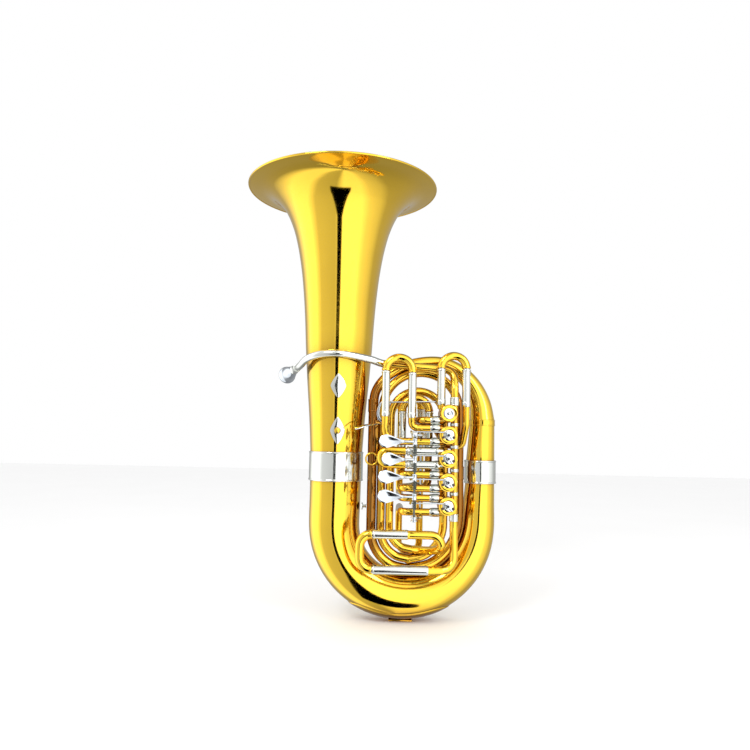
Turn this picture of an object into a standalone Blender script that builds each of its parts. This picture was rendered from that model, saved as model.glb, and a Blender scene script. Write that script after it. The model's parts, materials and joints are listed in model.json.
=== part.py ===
"""Five-valve rotary F tuba, modelled as separate pieces with working valves and slides.

Frame: metres, +Z up along the bell axis, the player's side towards -Y, +X to the right when
the valves are seen from the front.  The origin is under the middle of the bottom bow, on the
flat foot of its guard.  Lengths below are in millimetres and are scaled once, by MM.
"""
import math

import bmesh
import bpy
from mathutils import Matrix, Vector

MM = 0.001
GAP = 0.3
JOINT_GAP = 2.5              # between the ends of two tubes inside one ferrule

# ---- Driving dimensions -------------------------------------------------------------------
BODY_HALF_WIDTH = 191.0      # bottom bow, outer contour
BOW_CENTRE_Z = 194.5
BELL_TOP_Z = 900.0
BELL_RIM_RADIUS = 202.0
FERRULE_LOW_Z = 285.0
FERRULE_HIGH_Z = 332.0
BELL_THROAT_RADIUS = 52.8
BRANCH_RADIUS = 29.5
COIL_Y = -20.0               # plane of the inner coil
VALVE_Y = -68.0              # middle plane of the valve casings
SLIDE_Y = -75.0              # plane of the upright slides
MAIN_SLIDE_Y = -90.0
VALVE_X = 86.0
VALVE_Z = (418.5, 376.0, 330.0, 284.0, 238.0)
PORT_OFFSET = 13.5
PORT_RADIUS = 7.3
CASING_RADIUS = 17.8
CASING_FRONT_Y = -88.0
CASING_BACK_Y = -50.0
ROTOR_RADIUS = 15.0
SLEEVE_RADIUS = 8.3
LEG_RADIUS = 6.6
CROOK_STEP = 30.0            # degrees of bend between two rings of a tube
TUBE_SIDES = 8
COIL_SIDES = 10
WALL = 0.7

# Valve action
HINGE_X = 18.0
HINGE_Y = -124.0
LINK_Y = -92.5
STOP_ARM = 8.0
STOP_THROW = STOP_ARM * math.sin(math.radians(45))
PADDLE_Z = (362.5, 328.5, 295.0, 258.5)
THUMB_PIVOT = Vector((-40.0, -57.0, 398.0))
THUMB_ARM = 43.0
THUMB_BOW_X = -51.0          # how far left the lever's upright bows round the slide in front
THUMB_STOP_ARM = 11.0
THUMB_THROW = THUMB_STOP_ARM * math.sin(math.radians(45))
LINK_CLEARANCE = 1.5         # open pivots at both ends of each link rod
RING_Y = -54.0

MATERIALS = {
    "lacquered_brass": ((0.83, 0.58, 0.20, 1.0), 0.16, 1.0),
    "nickel_silver": ((0.72, 0.71, 0.66, 1.0), 0.18, 1.0),
    "silver_plate": ((0.86, 0.85, 0.82, 1.0), 0.12, 1.0),
    "spring_steel": ((0.45, 0.45, 0.46, 1.0), 0.30, 1.0),
}


# ---- Scene helpers ------------------------------------------------------------------------
def clear_scene():
    for existing in list(bpy.data.objects):
        bpy.data.objects.remove(existing)


def make_materials():
    for name, (colour, roughness, metallic) in MATERIALS.items():
        material = bpy.data.materials.new(name)
        material.use_nodes = True
        shader = material.node_tree.nodes["Principled BSDF"]
        shader.inputs["Base Color"].default_value = colour
        shader.inputs["Roughness"].default_value = roughness
        shader.inputs["Metallic"].default_value = metallic


def add_piece(name, mesh, material):
    """Put a mesh into the tuba's collection as one named, smooth-shaded sub-part."""
    mesh.name = name
    piece = bpy.data.objects.new(name, mesh)
    bpy.data.collections["tuba"].objects.link(piece)
    mesh.materials.clear()
    mesh.materials.append(bpy.data.materials[material])
    mesh.shade_smooth()
    mesh.set_sharp_from_angle(angle=math.radians(50))
    return piece


def apply_shape(piece):
    """Replace a piece's mesh by what its modifiers make of it."""
    evaluated = piece.evaluated_get(bpy.context.evaluated_depsgraph_get())
    mesh = bpy.data.meshes.new_from_object(evaluated)
    piece.modifiers.clear()
    piece.data = mesh


def combine(piece, tool, operation):
    """Join a tool to a piece, or cut it out of the piece, and remove the tool."""
    modifier = piece.modifiers.new(operation.lower(), "BOOLEAN")
    modifier.operation = operation
    modifier.solver = "EXACT"
    modifier.object = tool
    apply_shape(piece)
    bpy.data.objects.remove(tool)


def set_origin(piece, point):
    """Move a piece's origin to a point in the model's millimetres, leaving its shape in place."""
    origin = Vector(point) * MM
    piece.data.transform(Matrix.Translation(-origin))
    piece.location = origin


# ---- Paths --------------------------------------------------------------------------------
def bent_path(corners, bend_radii, step=CROOK_STEP):
    """Straight runs through the corners, with a round bend of the given radius at each."""
    corners = [Vector(corner) for corner in corners]
    path = [corners[0]]
    for before, corner, after, radius in zip(corners, corners[1:], corners[2:], bend_radii):
        back = (before - corner).normalized()
        ahead = (after - corner).normalized()
        half_angle = back.angle(ahead) / 2
        turn = math.pi - 2 * half_angle
        centre = corner + (back + ahead).normalized() * (radius / math.sin(half_angle))
        first = corner + back * (radius / math.tan(half_angle)) - centre
        last = corner + ahead * (radius / math.tan(half_angle)) - centre
        steps = max(1, round(math.degrees(turn) / step))
        for index in range(steps + 1):
            path.append(centre + first.slerp(last, index / steps).normalized() * radius)
    path.append(corners[-1])
    tidy = [path[0]]
    for point in path[1:]:
        if (point - tidy[-1]).length > 0.05:
            tidy.append(point)
    return tidy


def path_lengths(path):
    """Share of the path's length reached at each of its points, from 0 to 1."""
    reached = [0.0]
    for before, after in zip(path, path[1:]):
        reached.append(reached[-1] + (after - before).length)
    return [length / reached[-1] for length in reached]


def taper(path, start, end):
    return [start + (end - start) * share for share in path_lengths(path)]


def ease(share):
    return share * share * (3 - 2 * share)


# ---- Solids -------------------------------------------------------------------------------
def swept_mesh(name, path, radii, sides, capped):
    """A round section swept along a path, its radius given at each point."""
    curve = bpy.data.curves.new(name, "CURVE")
    curve.dimensions = "3D"
    curve.twist_mode = "MINIMUM"
    curve.resolution_u = 1
    curve.render_resolution_u = 0
    curve.bevel_depth = MM
    curve.bevel_resolution = (sides - 4) // 2
    curve.use_fill_caps = capped
    spline = curve.splines.new("POLY")
    spline.points.add(len(path) - 1)
    for spot, place, radius in zip(spline.points, path, radii):
        spot.co = (*(Vector(place) * MM), 1.0)
        spot.radius = radius
    guide = bpy.data.objects.new(name, curve)
    bpy.context.scene.collection.objects.link(guide)
    evaluated = guide.evaluated_get(bpy.context.evaluated_depsgraph_get())
    mesh = bpy.data.meshes.new_from_object(evaluated)
    bpy.data.objects.remove(guide)
    if capped:
        shape = bmesh.new()
        shape.from_mesh(mesh)
        bmesh.ops.remove_doubles(shape, verts=shape.verts, dist=1e-6)
        shape.to_mesh(mesh)
        shape.free()
    return mesh


def pipe(name, path, radii, sides, material, wall=WALL):
    """A hollow tube with open ends; radii are those of its outside."""
    if not isinstance(radii, list):
        radii = [radii] * len(path)
    piece = add_piece(name, swept_mesh(name, path, radii, sides, False), material)
    shell = piece.modifiers.new("wall", "SOLIDIFY")
    shell.thickness = wall * MM
    shell.offset = -1
    shell.use_even_offset = True
    return piece


def wire(name, path, radii, sides, material):
    """A solid rod or wire along a path."""
    if not isinstance(radii, list):
        radii = [radii] * len(path)
    return add_piece(name, swept_mesh(name, path, radii, sides, True), material)


def rod(name, start, end, radius, sides, material, end_radius=None):
    """A straight round bar, or a cone when its end radius differs."""
    start = Vector(start)
    end = Vector(end)
    shape = bmesh.new()
    bmesh.ops.create_cone(
        shape, cap_ends=True, segments=sides, radius1=radius * MM,
        radius2=(radius if end_radius is None else end_radius) * MM,
        depth=(end - start).length * MM)
    turn = (end - start).to_track_quat("Z", "Y").to_matrix().to_4x4()
    bmesh.ops.transform(
        shape, matrix=Matrix.Translation((start + end) * MM / 2) @ turn, verts=shape.verts)
    mesh = bpy.data.meshes.new(name)
    shape.to_mesh(mesh)
    shape.free()
    return add_piece(name, mesh, material)


def box(name, low, high, material):
    """A rectangular block between two opposite corners."""
    low = Vector(low)
    high = Vector(high)
    shape = bmesh.new()
    bmesh.ops.create_cube(shape, size=MM)
    bmesh.ops.scale(shape, vec=high - low, verts=shape.verts)
    bmesh.ops.translate(shape, vec=(low + high) * MM / 2, verts=shape.verts)
    mesh = bpy.data.meshes.new(name)
    shape.to_mesh(mesh)
    shape.free()
    return add_piece(name, mesh, material)


def turned(name, profile, base, direction, sides, material):
    """A closed profile of (radius, height) points, turned about an axis through base."""
    mesh = bpy.data.meshes.new(name)
    points = [(radius * MM, 0.0, height * MM) for radius, height in profile]
    count = len(points)
    mesh.from_pydata(points, [(i, (i + 1) % count) for i in range(count)], [])
    piece = add_piece(name, mesh, material)
    screw = piece.modifiers.new("turn", "SCREW")
    screw.axis = "Z"
    screw.steps = sides
    screw.render_steps = sides
    screw.use_merge_vertices = True
    screw.merge_threshold = 0.00001
    apply_shape(piece)
    turn = Vector(direction).to_track_quat("Z", "Y").to_matrix().to_4x4()
    piece.data.transform(Matrix.Translation(Vector(base) * MM) @ turn)
    return piece


def flat_plate(name, outline, thickness, material):
    """An outline of (x, y) points made into a plate lying about z = 0."""
    curve = bpy.data.curves.new(name, "CURVE")
    curve.dimensions = "2D"
    curve.fill_mode = "BOTH"
    curve.extrude = thickness * MM / 2
    curve.render_resolution_u = 0
    spline = curve.splines.new("POLY")
    spline.points.add(len(outline) - 1)
    for spot, (x, y) in zip(spline.points, outline):
        spot.co = (x * MM, y * MM, 0.0, 1.0)
    spline.use_cyclic_u = True
    guide = bpy.data.objects.new(name, curve)
    bpy.context.scene.collection.objects.link(guide)
    evaluated = guide.evaluated_get(bpy.context.evaluated_depsgraph_get())
    mesh = bpy.data.meshes.new_from_object(evaluated)
    bpy.data.objects.remove(guide)
    shape = bmesh.new()
    shape.from_mesh(mesh)
    bmesh.ops.remove_doubles(shape, verts=shape.verts, dist=1e-6)
    shape.to_mesh(mesh)
    shape.free()
    return add_piece(name, mesh, material)


# ---- Bell, bows and branches --------------------------------------------------------------
BELL_PROFILE = (
    # height, outside radius
    (333.0, 53.8), (400.0, 57.8), (487.0, 65.0), (552.0, 69.7), (610.0, 73.0), (659.0, 76.8),
    (715.0, 83.0), (767.0, 92.0), (810.0, 103.5), (849.0, 121.0), (873.0, 141.0),
    (888.0, 163.0), (896.0, 184.0),
)
BELL_AXIS_X = BELL_THROAT_RADIUS - BODY_HALF_WIDTH
RIM_BEAD = 5.0


def bell():
    """Flared bell, turned about its axis, with a flat-topped bead at the rim."""
    outside = [(radius, height) for height, radius in BELL_PROFILE]
    inside = [(radius - WALL, height) for radius, height in outside]
    rim_outer = [(BELL_RIM_RADIUS, BELL_TOP_Z - 4.0), (BELL_RIM_RADIUS, BELL_TOP_Z)]
    rim_inner = [(BELL_RIM_RADIUS - RIM_BEAD, BELL_TOP_Z)]
    inside[-1] = (inside[-1][0], inside[-1][1] + 2 * WALL)
    profile = list(reversed(rim_inner + list(reversed(inside)) + outside + rim_outer))
    turned("bell", profile, (BELL_AXIS_X, 0, 0), (0, 0, 1), 20, "lacquered_brass")


def bow_radius(share):
    """Outside radius of the bottom bow, from the outer branch (0) to the bell (1)."""
    middle = 46.0
    rise = 4 * middle - 3 * BRANCH_RADIUS - BELL_THROAT_RADIUS
    curve = 2 * (BRANCH_RADIUS + BELL_THROAT_RADIUS) - 4 * middle
    return BRANCH_RADIUS + rise * share + curve * share * share


def bow_point(share):
    """Centre of the bottom bow's tube: its contour is two straights and a half circle."""
    straight = FERRULE_LOW_Z - BOW_CENTRE_Z
    total = 2 * straight + math.pi * BODY_HALF_WIDTH
    along = share * total
    reach = BODY_HALF_WIDTH - bow_radius(share)
    if along < straight:
        return Vector((reach, 0, BOW_CENTRE_Z + straight - along))
    if along > total - straight:
        return Vector((-reach, 0, BOW_CENTRE_Z + straight - (total - along)))
    angle = (along - straight) / BODY_HALF_WIDTH
    return Vector((reach * math.cos(angle), 0, BOW_CENTRE_Z - reach * math.sin(angle)))


BOW_STEPS = 16
GUARD_HALF_LENGTH = 80.0


def bottom_bow():
    shares = [index / BOW_STEPS for index in range(BOW_STEPS + 1)]
    path = [bow_point(share) for share in shares]
    pipe("bottom_bow", path, [bow_radius(share) for share in shares], 16, "lacquered_brass")


def bow_guard():
    """Guard plate round the outside of the bottom bow, with the flat foot of the frame."""
    middle = BOW_STEPS // 2
    shares = [index / BOW_STEPS for index in range(middle - 2, middle + 3)]
    path = [bow_point(share) for share in shares]
    radii = [bow_radius(share) + GAP + 1.5 for share in shares]
    guard = pipe("bow_guard", path, radii, 16, "nickel_silver", wall=1.5)
    apply_shape(guard)
    inner = rod("guard_cut", (0, -80, BOW_CENTRE_Z), (0, 80, BOW_CENTRE_Z),
                BODY_HALF_WIDTH - 20, 48, "nickel_silver")
    combine(guard, inner, "DIFFERENCE")
    length = box("length", (-GUARD_HALF_LENGTH, -80, 0), (GUARD_HALF_LENGTH, 80, 60),
                 "nickel_silver")
    combine(guard, length, "INTERSECT")
    foot = box("foot", (-24, -15, 0), (24, 15, 2.9), "nickel_silver")
    combine(guard, foot, "UNION")


def ring(name, x, radius, low, high, material, sides=24, wall=1.6):
    """An upright ferrule that stands a little proud of the tubes that it joins."""
    bore = radius / math.cos(math.pi / sides) + GAP
    profile = [(bore + wall, high), (bore + wall, low), (bore, low), (bore, high)]
    turned(name, profile, (x, 0, 0), (0, 0, 1), sides, material)


def ferrules():
    ring("bell_ferrule", BELL_AXIS_X, BELL_THROAT_RADIUS + 1.1, FERRULE_LOW_Z - 6,
         FERRULE_HIGH_Z + 6, "nickel_silver")
    ring("outer_ferrule", BODY_HALF_WIDTH - BRANCH_RADIUS, BRANCH_RADIUS + 0.9, FERRULE_LOW_Z - 6,
         FERRULE_HIGH_Z - 6, "nickel_silver", sides=20)


BRANCH_TOP_Z = 408.0
BRANCH_TOP_RADIUS = 25.5
TOP_BOW_Z = 528.0
TOP_BOW_X = 59.0
COIL_LEFT = (-63.0, -44.0, -26.0)
COIL_RIGHT = (115.0, 84.0)
COIL_BENDS = ((77.0, 106.0), (60.0, 72.0))    # lower left and right bends, outer and middle tube
COIL_LOW_Z = (105.0, 124.5)
COIL_BOTTOM_Z = 190.0


def outer_branch():
    low = FERRULE_LOW_Z + JOINT_GAP
    path = [Vector((BODY_HALF_WIDTH - radius, 0, height)) for height, radius in (
        (low, BRANCH_RADIUS), (330, 28.9), (BRANCH_TOP_Z - 3 - JOINT_GAP, BRANCH_TOP_RADIUS))]
    radii = [BODY_HALF_WIDTH - point.x for point in path]
    pipe("outer_branch", path, radii, 16, "lacquered_brass")


def top_bow():
    """Large bow from the outer branch over the coil, down to the coil's outermost tube."""
    right = BODY_HALF_WIDTH - BRANCH_TOP_RADIUS
    left_z = 440.0
    steps = 12
    path = []
    radii = []
    for index in range(steps + 1):
        share = index / steps
        angle = math.pi * share
        reach = right - TOP_BOW_X if share < 0.5 else TOP_BOW_X - COIL_LEFT[0]
        low = BRANCH_TOP_Z if share < 0.5 else left_z
        path.append(Vector((TOP_BOW_X + reach * math.cos(angle), COIL_Y * ease(share),
                            low + (TOP_BOW_Z - low) * math.sin(angle))))
        radii.append(9.7 + (BRANCH_TOP_RADIUS - 9.7) * (1 - share) ** 2.5)
    straight = Vector((0, 0, 3))
    path = [path[0] - straight] + path + [path[-1] - straight]
    radii = [radii[0]] + radii + [radii[-1]]
    pipe("top_bow", path, radii, COIL_SIDES, "lacquered_brass")


def in_coil(points):
    return [(x, COIL_Y, z) for x, z in points]


def coil():
    """The nested cylindrical tubing between the tuning slide and the top bow."""
    outer, middle, inner = COIL_LEFT
    far, near = COIL_RIGHT
    brass = "lacquered_brass"
    low = COIL_LOW_Z[0]
    path = bent_path(in_coil([(outer, 437 - JOINT_GAP), (outer, low), (far, low), (far, 300)]),
                     COIL_BENDS[0])
    pipe("coil_tube_1", path, taper(path, 9.7, 9.4), COIL_SIDES, brass)
    over = (far - middle) / 2
    low = COIL_LOW_Z[1]
    path = bent_path(in_coil([(far, 300 + JOINT_GAP), (far, 425 + over), (middle, 425 + over),
                              (middle, low), (near, low), (near, 300)]),
                     [over, over, *COIL_BENDS[1]])
    pipe("coil_tube_2", path, taper(path, 9.2, 8.4), COIL_SIDES, brass)
    over = (near - inner) / 2
    path = bent_path(in_coil([(near, 300 + JOINT_GAP), (near, 411 + over), (inner, 411 + over),
                              (inner, 300)]), [over, over])
    pipe("coil_tube_3", path, 8.2, COIL_SIDES, brass)


TUNING_LOW_Z = 116.0
TUNING_HIGH_Z = 183.0
TUNING_LEFT_X = -58.5
TUNING_CROOK_X = -83.5
TUNING_BEND = 23.0
TUNING_LEG = 7.7
TUNING_SLEEVE = 9.3
TUNING_LOW_END = 46.0        # where the lower sleeve narrows to the feed's own bore
TUNING_HIGH_END = 8.0        # where the upper sleeve narrows


def tuning_tubes():
    """Tubes that carry the main tuning slide: the valves' feed below, the coil's above."""
    last_valve = VALVE_Z[-1]
    x = VALVE_X + PORT_OFFSET
    path = bent_path([(x, VALVE_Y, last_valve - 23 - GAP), (x, VALVE_Y, last_valve - 40),
                      (x, -79, TUNING_LOW_Z), (66, MAIN_SLIDE_Y, TUNING_LOW_Z),
                      (TUNING_LEFT_X, MAIN_SLIDE_Y, TUNING_LOW_Z)], [60, 26, 60])
    radii = [8.0] * (len(path) - 2) + [TUNING_SLEEVE] * 2
    path.insert(len(path) - 1, Vector((TUNING_LOW_END, MAIN_SLIDE_Y, TUNING_LOW_Z)))
    radii.insert(len(radii) - 2, 8.0)
    pipe("tuning_feed", path, radii, COIL_SIDES, "lacquered_brass")
    inner = COIL_LEFT[2]
    bend = 46.0
    low = COIL_BOTTOM_Z - bend
    middle = (TUNING_HIGH_Z + low) / 2
    path = [Vector((TUNING_LEFT_X, MAIN_SLIDE_Y, TUNING_HIGH_Z)),
            Vector((TUNING_HIGH_END, MAIN_SLIDE_Y, TUNING_HIGH_Z)),
            Vector((TUNING_HIGH_END + 2, MAIN_SLIDE_Y, TUNING_HIGH_Z))]
    radii = [TUNING_SLEEVE, TUNING_SLEEVE, 8.2]
    steps = 8
    for index in range(steps + 1):
        share = index / steps
        angle = math.pi * share
        base, reach = (52, 22) if share < 0.5 else (inner + bend + 4, 74 - inner - bend - 4)
        path.append(Vector((base + reach * math.sin(angle),
                            MAIN_SLIDE_Y + (COIL_Y - MAIN_SLIDE_Y) * ease(share ** 3),
                            middle + (TUNING_HIGH_Z - middle) * math.cos(angle))))
    rise = bent_path(in_coil([(inner + bend + 1, low), (inner, low), (inner, 300 - JOINT_GAP)]),
                     [bend])
    path += rise
    radii += [8.2] * (len(path) - len(radii))
    pipe("coil_tube_4", path, radii, COIL_SIDES, "lacquered_brass")


# ---- Valves -------------------------------------------------------------------------------
def cut_round(piece, start, end, radius, sides=TUBE_SIDES):
    combine(piece, rod("cut", start, end, radius, sides, "lacquered_brass"), "DIFFERENCE")


def valve_casing(number):
    """Rotor casing with its left ports and the upright knuckle on its right."""
    z = VALVE_Z[number - 1]
    name = f"valve_casing_{number}"
    casing = rod(name, (VALVE_X, CASING_FRONT_Y, z), (VALVE_X, CASING_BACK_Y, z),
                 CASING_RADIUS, 20, "lacquered_brass")
    above = 25.0 if number == 1 else (VALVE_Z[number - 2] - z) / 2 - GAP / 2
    below = 23.0 if number == 5 else (z - VALVE_Z[number]) / 2 - GAP / 2
    knuckle_x = VALVE_X + PORT_OFFSET
    knuckle = ((knuckle_x, VALVE_Y, z - below), (knuckle_x, VALVE_Y, z + above))
    combine(casing, rod("knuckle", *knuckle, PORT_RADIUS, TUBE_SIDES, "lacquered_brass"), "UNION")
    ports = []
    for side in (1, -1):
        height = z + side * PORT_OFFSET
        end_x = SECOND_SLEEVE_X if number == 3 else VALVE_X - 24
        ports.append(((VALVE_X - 6, VALVE_Y, height), (end_x, VALVE_Y, height)))
    if number == 1:
        upright = VALVE_X - PORT_OFFSET
        ports[0] = ((upright, VALVE_Y, z + 6), (upright, VALVE_Y, z + 22))
    radius = SLEEVE_RADIUS if number == 3 else PORT_RADIUS
    for start, end in ports:
        combine(casing, rod("port", start, end, radius, TUBE_SIDES, "lacquered_brass"), "UNION")
    cut_round(casing, (VALVE_X, CASING_FRONT_Y + 1.5, z), (VALVE_X, CASING_BACK_Y - 1.5, z),
              ROTOR_RADIUS + 0.7, 20)
    low, high = Vector(knuckle[0]), Vector(knuckle[1])
    cut_round(casing, low - Vector((0, 0, 1)), high + Vector((0, 0, 1)), PORT_RADIUS - WALL)
    for start, end in ports:
        reach = (Vector(end) - Vector(start)).normalized()
        cut_round(casing, start, Vector(end) + reach, radius - WALL)
    spindle_from = CASING_BACK_Y - 3 if number == 1 else CASING_FRONT_Y - 1
    cut_round(casing, (VALVE_X, spindle_from, z), (VALVE_X, spindle_from + 4, z), 4.2, 12)


def rotor(number):
    """Rotor with its two side passages, its spindle, stop arm and link pin."""
    z = VALVE_Z[number - 1]
    centre = Vector((VALVE_X, 0, z))
    front = CASING_FRONT_Y + 1.5 + 0.4
    back = CASING_BACK_Y - 1.5 - 0.4
    body = rod(f"rotor_{number}", (VALVE_X, front, z), (VALVE_X, back, z), ROTOR_RADIUS, 16,
               "nickel_silver")
    for side in (-1, 1):
        x = VALVE_X + side * PORT_OFFSET
        cut_round(body, (x, VALVE_Y, z - 20), (x, VALVE_Y, z + 20), PORT_RADIUS - WALL)
    if number == 1:
        spindle = ((VALVE_X, back - 1, z), (VALVE_X, CASING_BACK_Y + 2.6, z))
        plate_y, pin_end = CASING_BACK_Y + 1.8, CASING_BACK_Y + 8
        throw, tip = THUMB_THROW, 1
    else:
        spindle = ((VALVE_X, CASING_FRONT_Y - 2.6, z), (VALVE_X, front + 1, z))
        plate_y, pin_end = CASING_FRONT_Y - 1.8, CASING_FRONT_Y - 7
        throw, tip = STOP_THROW, -1
    combine(body, rod("spindle", *spindle, 3.4, 8, "nickel_silver"), "UNION")
    pin = centre + Vector((tip * throw, 0, throw))
    reach = math.hypot(throw, throw)
    arm = flat_plate("arm", [(-3.5, -3.5), (-3.5, 3.5), (reach + 2.4, 2.4), (reach + 2.4, -2.4)],
                     1.6, "nickel_silver")
    lean = math.radians(45) if tip == 1 else math.radians(135)
    place = Matrix.Translation(Vector((VALVE_X, plate_y, z)) * MM)
    upright = Matrix.Rotation(math.radians(90), 4, "X")
    arm.data.transform(place @ upright @ Matrix.Rotation(lean, 4, "Z"))
    combine(body, arm, "UNION")
    pin_rod = rod("pin", (pin.x, plate_y, pin.z), (pin.x, pin_end, pin.z), 1.3, 8, "nickel_silver")
    combine(body, pin_rod, "UNION")
    set_origin(body, (VALVE_X, VALVE_Y, z))


def valve_cap():
    """Screw cap over the front of the thumb valve."""
    z = VALVE_Z[0]
    back = GAP - CASING_FRONT_Y
    front = 5 - CASING_FRONT_Y
    cap = turned("valve_cap", [(17.2, front), (17.2, back), (6.0, back), (6.0, front)],
                 (VALVE_X, 0, z), (0, -1, 0), 20, "lacquered_brass")
    plug = rod("plug", (VALVE_X, CASING_FRONT_Y - 4, z), (VALVE_X, CASING_FRONT_Y - GAP, z),
               6.5, 12, "lacquered_brass")
    combine(cap, plug, "UNION")


# ---- Valve slides -------------------------------------------------------------------------
PORT_END_X = VALVE_X - 24 - GAP
FIRST_LEFT_X = -38.6
FIRST_RIGHT_X = 14.0
THUMB_LEFT_X = VALVE_X - PORT_OFFSET
THUMB_RIGHT_X = 122.5
SECOND_SLEEVE_X = VALVE_X - 80
SECOND_LEFT_X = -54.5
THIRD_X = (-4.0, 50.0)
THIRD_Y = -45.0
FOURTH_Y = 46.0
FOURTH_X = (-4.0, 40.0)


def with_sleeve(path, bore_start):
    """Radii of a tube whose last run, from index bore_start, widens into a slide's sleeve."""
    return [PORT_RADIUS] * bore_start + [SLEEVE_RADIUS] * (len(path) - bore_start)


def sleeved_tube(name, corners, bends, sleeve_start):
    """A tube along the corners whose last straight run becomes a sleeve at sleeve_start."""
    path = bent_path(corners, bends)
    start = Vector(sleeve_start)
    direction = (path[-1] - start).normalized()
    path[-1:-1] = [start - direction * 1.5, start]
    pipe(name, path, with_sleeve(path, len(path) - 2), TUBE_SIDES, "nickel_silver")


def valve_tubes():
    """Fixed tubes from each valve's two left ports up to the sleeves of its slide."""
    high = [z + PORT_OFFSET for z in VALVE_Z]
    low = [z - PORT_OFFSET for z in VALVE_Z]
    x, y = PORT_END_X, VALVE_Y
    sleeved_tube("thumb_tube_upper", [
        (THUMB_LEFT_X, y, VALVE_Z[0] + 22 + GAP), (THUMB_LEFT_X, y, 508)], [],
        (THUMB_LEFT_X, y, 443))
    sleeved_tube("thumb_tube_lower", [
        (x, y, low[0]), (28, y, low[0]), (28, -24, low[0]), (62, -24, low[0] - 10),
        (84, -40.5, 358), (THUMB_RIGHT_X - 6, -46, 352), (THUMB_RIGHT_X, y, 398),
        (THUMB_RIGHT_X, y, 508)], [14, 14, 18, 12, 14, 24],
        (THUMB_RIGHT_X, y, 440))
    sleeved_tube("first_tube_upper", [
        (x, y, high[1]), (FIRST_RIGHT_X, y, high[1]), (FIRST_RIGHT_X, SLIDE_Y, 411),
        (FIRST_RIGHT_X, SLIDE_Y, 498)], [13, 12], (FIRST_RIGHT_X, SLIDE_Y, 416))
    sleeved_tube("first_tube_lower", [
        (x, y, low[1]), (FIRST_LEFT_X, y, low[1]), (FIRST_LEFT_X, SLIDE_Y, 406),
        (FIRST_LEFT_X, SLIDE_Y, 501)], [24, 20], (FIRST_LEFT_X, SLIDE_Y, 418))
    left, right = THIRD_X
    sleeved_tube("third_tube_upper", [
        (x, y, high[3]), (left, y, high[3]), (left, THIRD_Y, high[3]), (left, THIRD_Y, 422)],
        [11, 11], (left, THIRD_Y, 340))
    sleeved_tube("third_tube_lower", [
        (x, y, low[3]), (left, y, low[3]), (left, THIRD_Y, low[3]), (right, THIRD_Y, low[3]),
        (right, THIRD_Y, 422)], [11, 11, 16], (right, THIRD_Y, 340))
    left, right = FOURTH_X
    sleeved_tube("fourth_tube_upper", [
        (x, y, high[4]), (left, y, high[4]), (left, FOURTH_Y, high[4]),
        (left, FOURTH_Y, 430)], [14, 20], (left, FOURTH_Y, 345))
    sleeved_tube("fourth_tube_lower", [
        (x, y, low[4]), (left, y, low[4]), (left, FOURTH_Y, low[4]), (left, FOURTH_Y, 128),
        (right, FOURTH_Y, 128), (right, FOURTH_Y, 430)], [14, 20, 22, 22],
        (right, FOURTH_Y, 345))


def slide(name, corners, bends, radius=LEG_RADIUS, sides=TUBE_SIDES):
    """A slide: two inner legs joined by a bow, one hollow piece."""
    piece = pipe(name, bent_path(corners, bends), radius, sides, "lacquered_brass")
    apply_shape(piece)
    set_origin(piece, corners[0])


def slides():
    half = (THUMB_RIGHT_X - THUMB_LEFT_X) / 2
    top = 543.5 - SLEEVE_RADIUS
    slide("thumb_slide", [
        (THUMB_LEFT_X, VALVE_Y, 449), (THUMB_LEFT_X, VALVE_Y, top), (THUMB_RIGHT_X, VALVE_Y, top),
        (THUMB_RIGHT_X, VALVE_Y, 449)], [half, half])
    half = (FIRST_RIGHT_X - FIRST_LEFT_X) / 2
    top = 537 - SLEEVE_RADIUS
    slide("first_slide", [
        (FIRST_LEFT_X, SLIDE_Y, 436), (FIRST_LEFT_X, SLIDE_Y, top), (FIRST_RIGHT_X, SLIDE_Y, top),
        (FIRST_RIGHT_X, SLIDE_Y, 438)], [half, half])
    z = VALVE_Z[2]
    left = SECOND_LEFT_X + SLEEVE_RADIUS
    slide("second_slide", [
        (38, VALVE_Y, z + PORT_OFFSET), (left, VALVE_Y, z + PORT_OFFSET),
        (left, VALVE_Y, z - PORT_OFFSET), (38, VALVE_Y, z - PORT_OFFSET)],
        [PORT_OFFSET, PORT_OFFSET])
    left, right = THIRD_X
    half = (right - left) / 2
    slide("third_slide", [
        (left, THIRD_Y, 348), (left, THIRD_Y, 423 + half), (right, THIRD_Y, 423 + half),
        (right, THIRD_Y, 348)], [half, half])
    left, right = FOURTH_X
    half = (right - left) / 2
    slide("fourth_slide", [
        (left, FOURTH_Y, 353), (left, FOURTH_Y, 437 + half), (right, FOURTH_Y, 437 + half),
        (right, FOURTH_Y, 353)], [half, half])
    left = TUNING_CROOK_X
    slide("main_tuning_slide", [
        (TUNING_HIGH_END - 3, MAIN_SLIDE_Y, TUNING_HIGH_Z), (left, MAIN_SLIDE_Y, TUNING_HIGH_Z),
        (left, MAIN_SLIDE_Y, TUNING_LOW_Z), (30, MAIN_SLIDE_Y, TUNING_LOW_Z)],
        [TUNING_BEND, TUNING_BEND], TUNING_LEG, COIL_SIDES)


# ---- Leadpipe and mouthpiece --------------------------------------------------------------
RECEIVER_AXIS = Vector((-0.40, 0.87, -0.14)).normalized()
PIPE_TURN = (203, 513)       # degrees round the bell and height where the leadpipe turns back
PIPE_REACH = 84.0            # from the bell axis to the leadpipe, where it goes round the bell


def beside_bell(degrees, height):
    """A point on the leadpipe's way round the bell."""
    angle = math.radians(degrees)
    return Vector((BELL_AXIS_X + PIPE_REACH * math.cos(angle), PIPE_REACH * math.sin(angle),
                   height))


def receiver_end():
    return beside_bell(*PIPE_TURN) + RECEIVER_AXIS * 20


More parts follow.
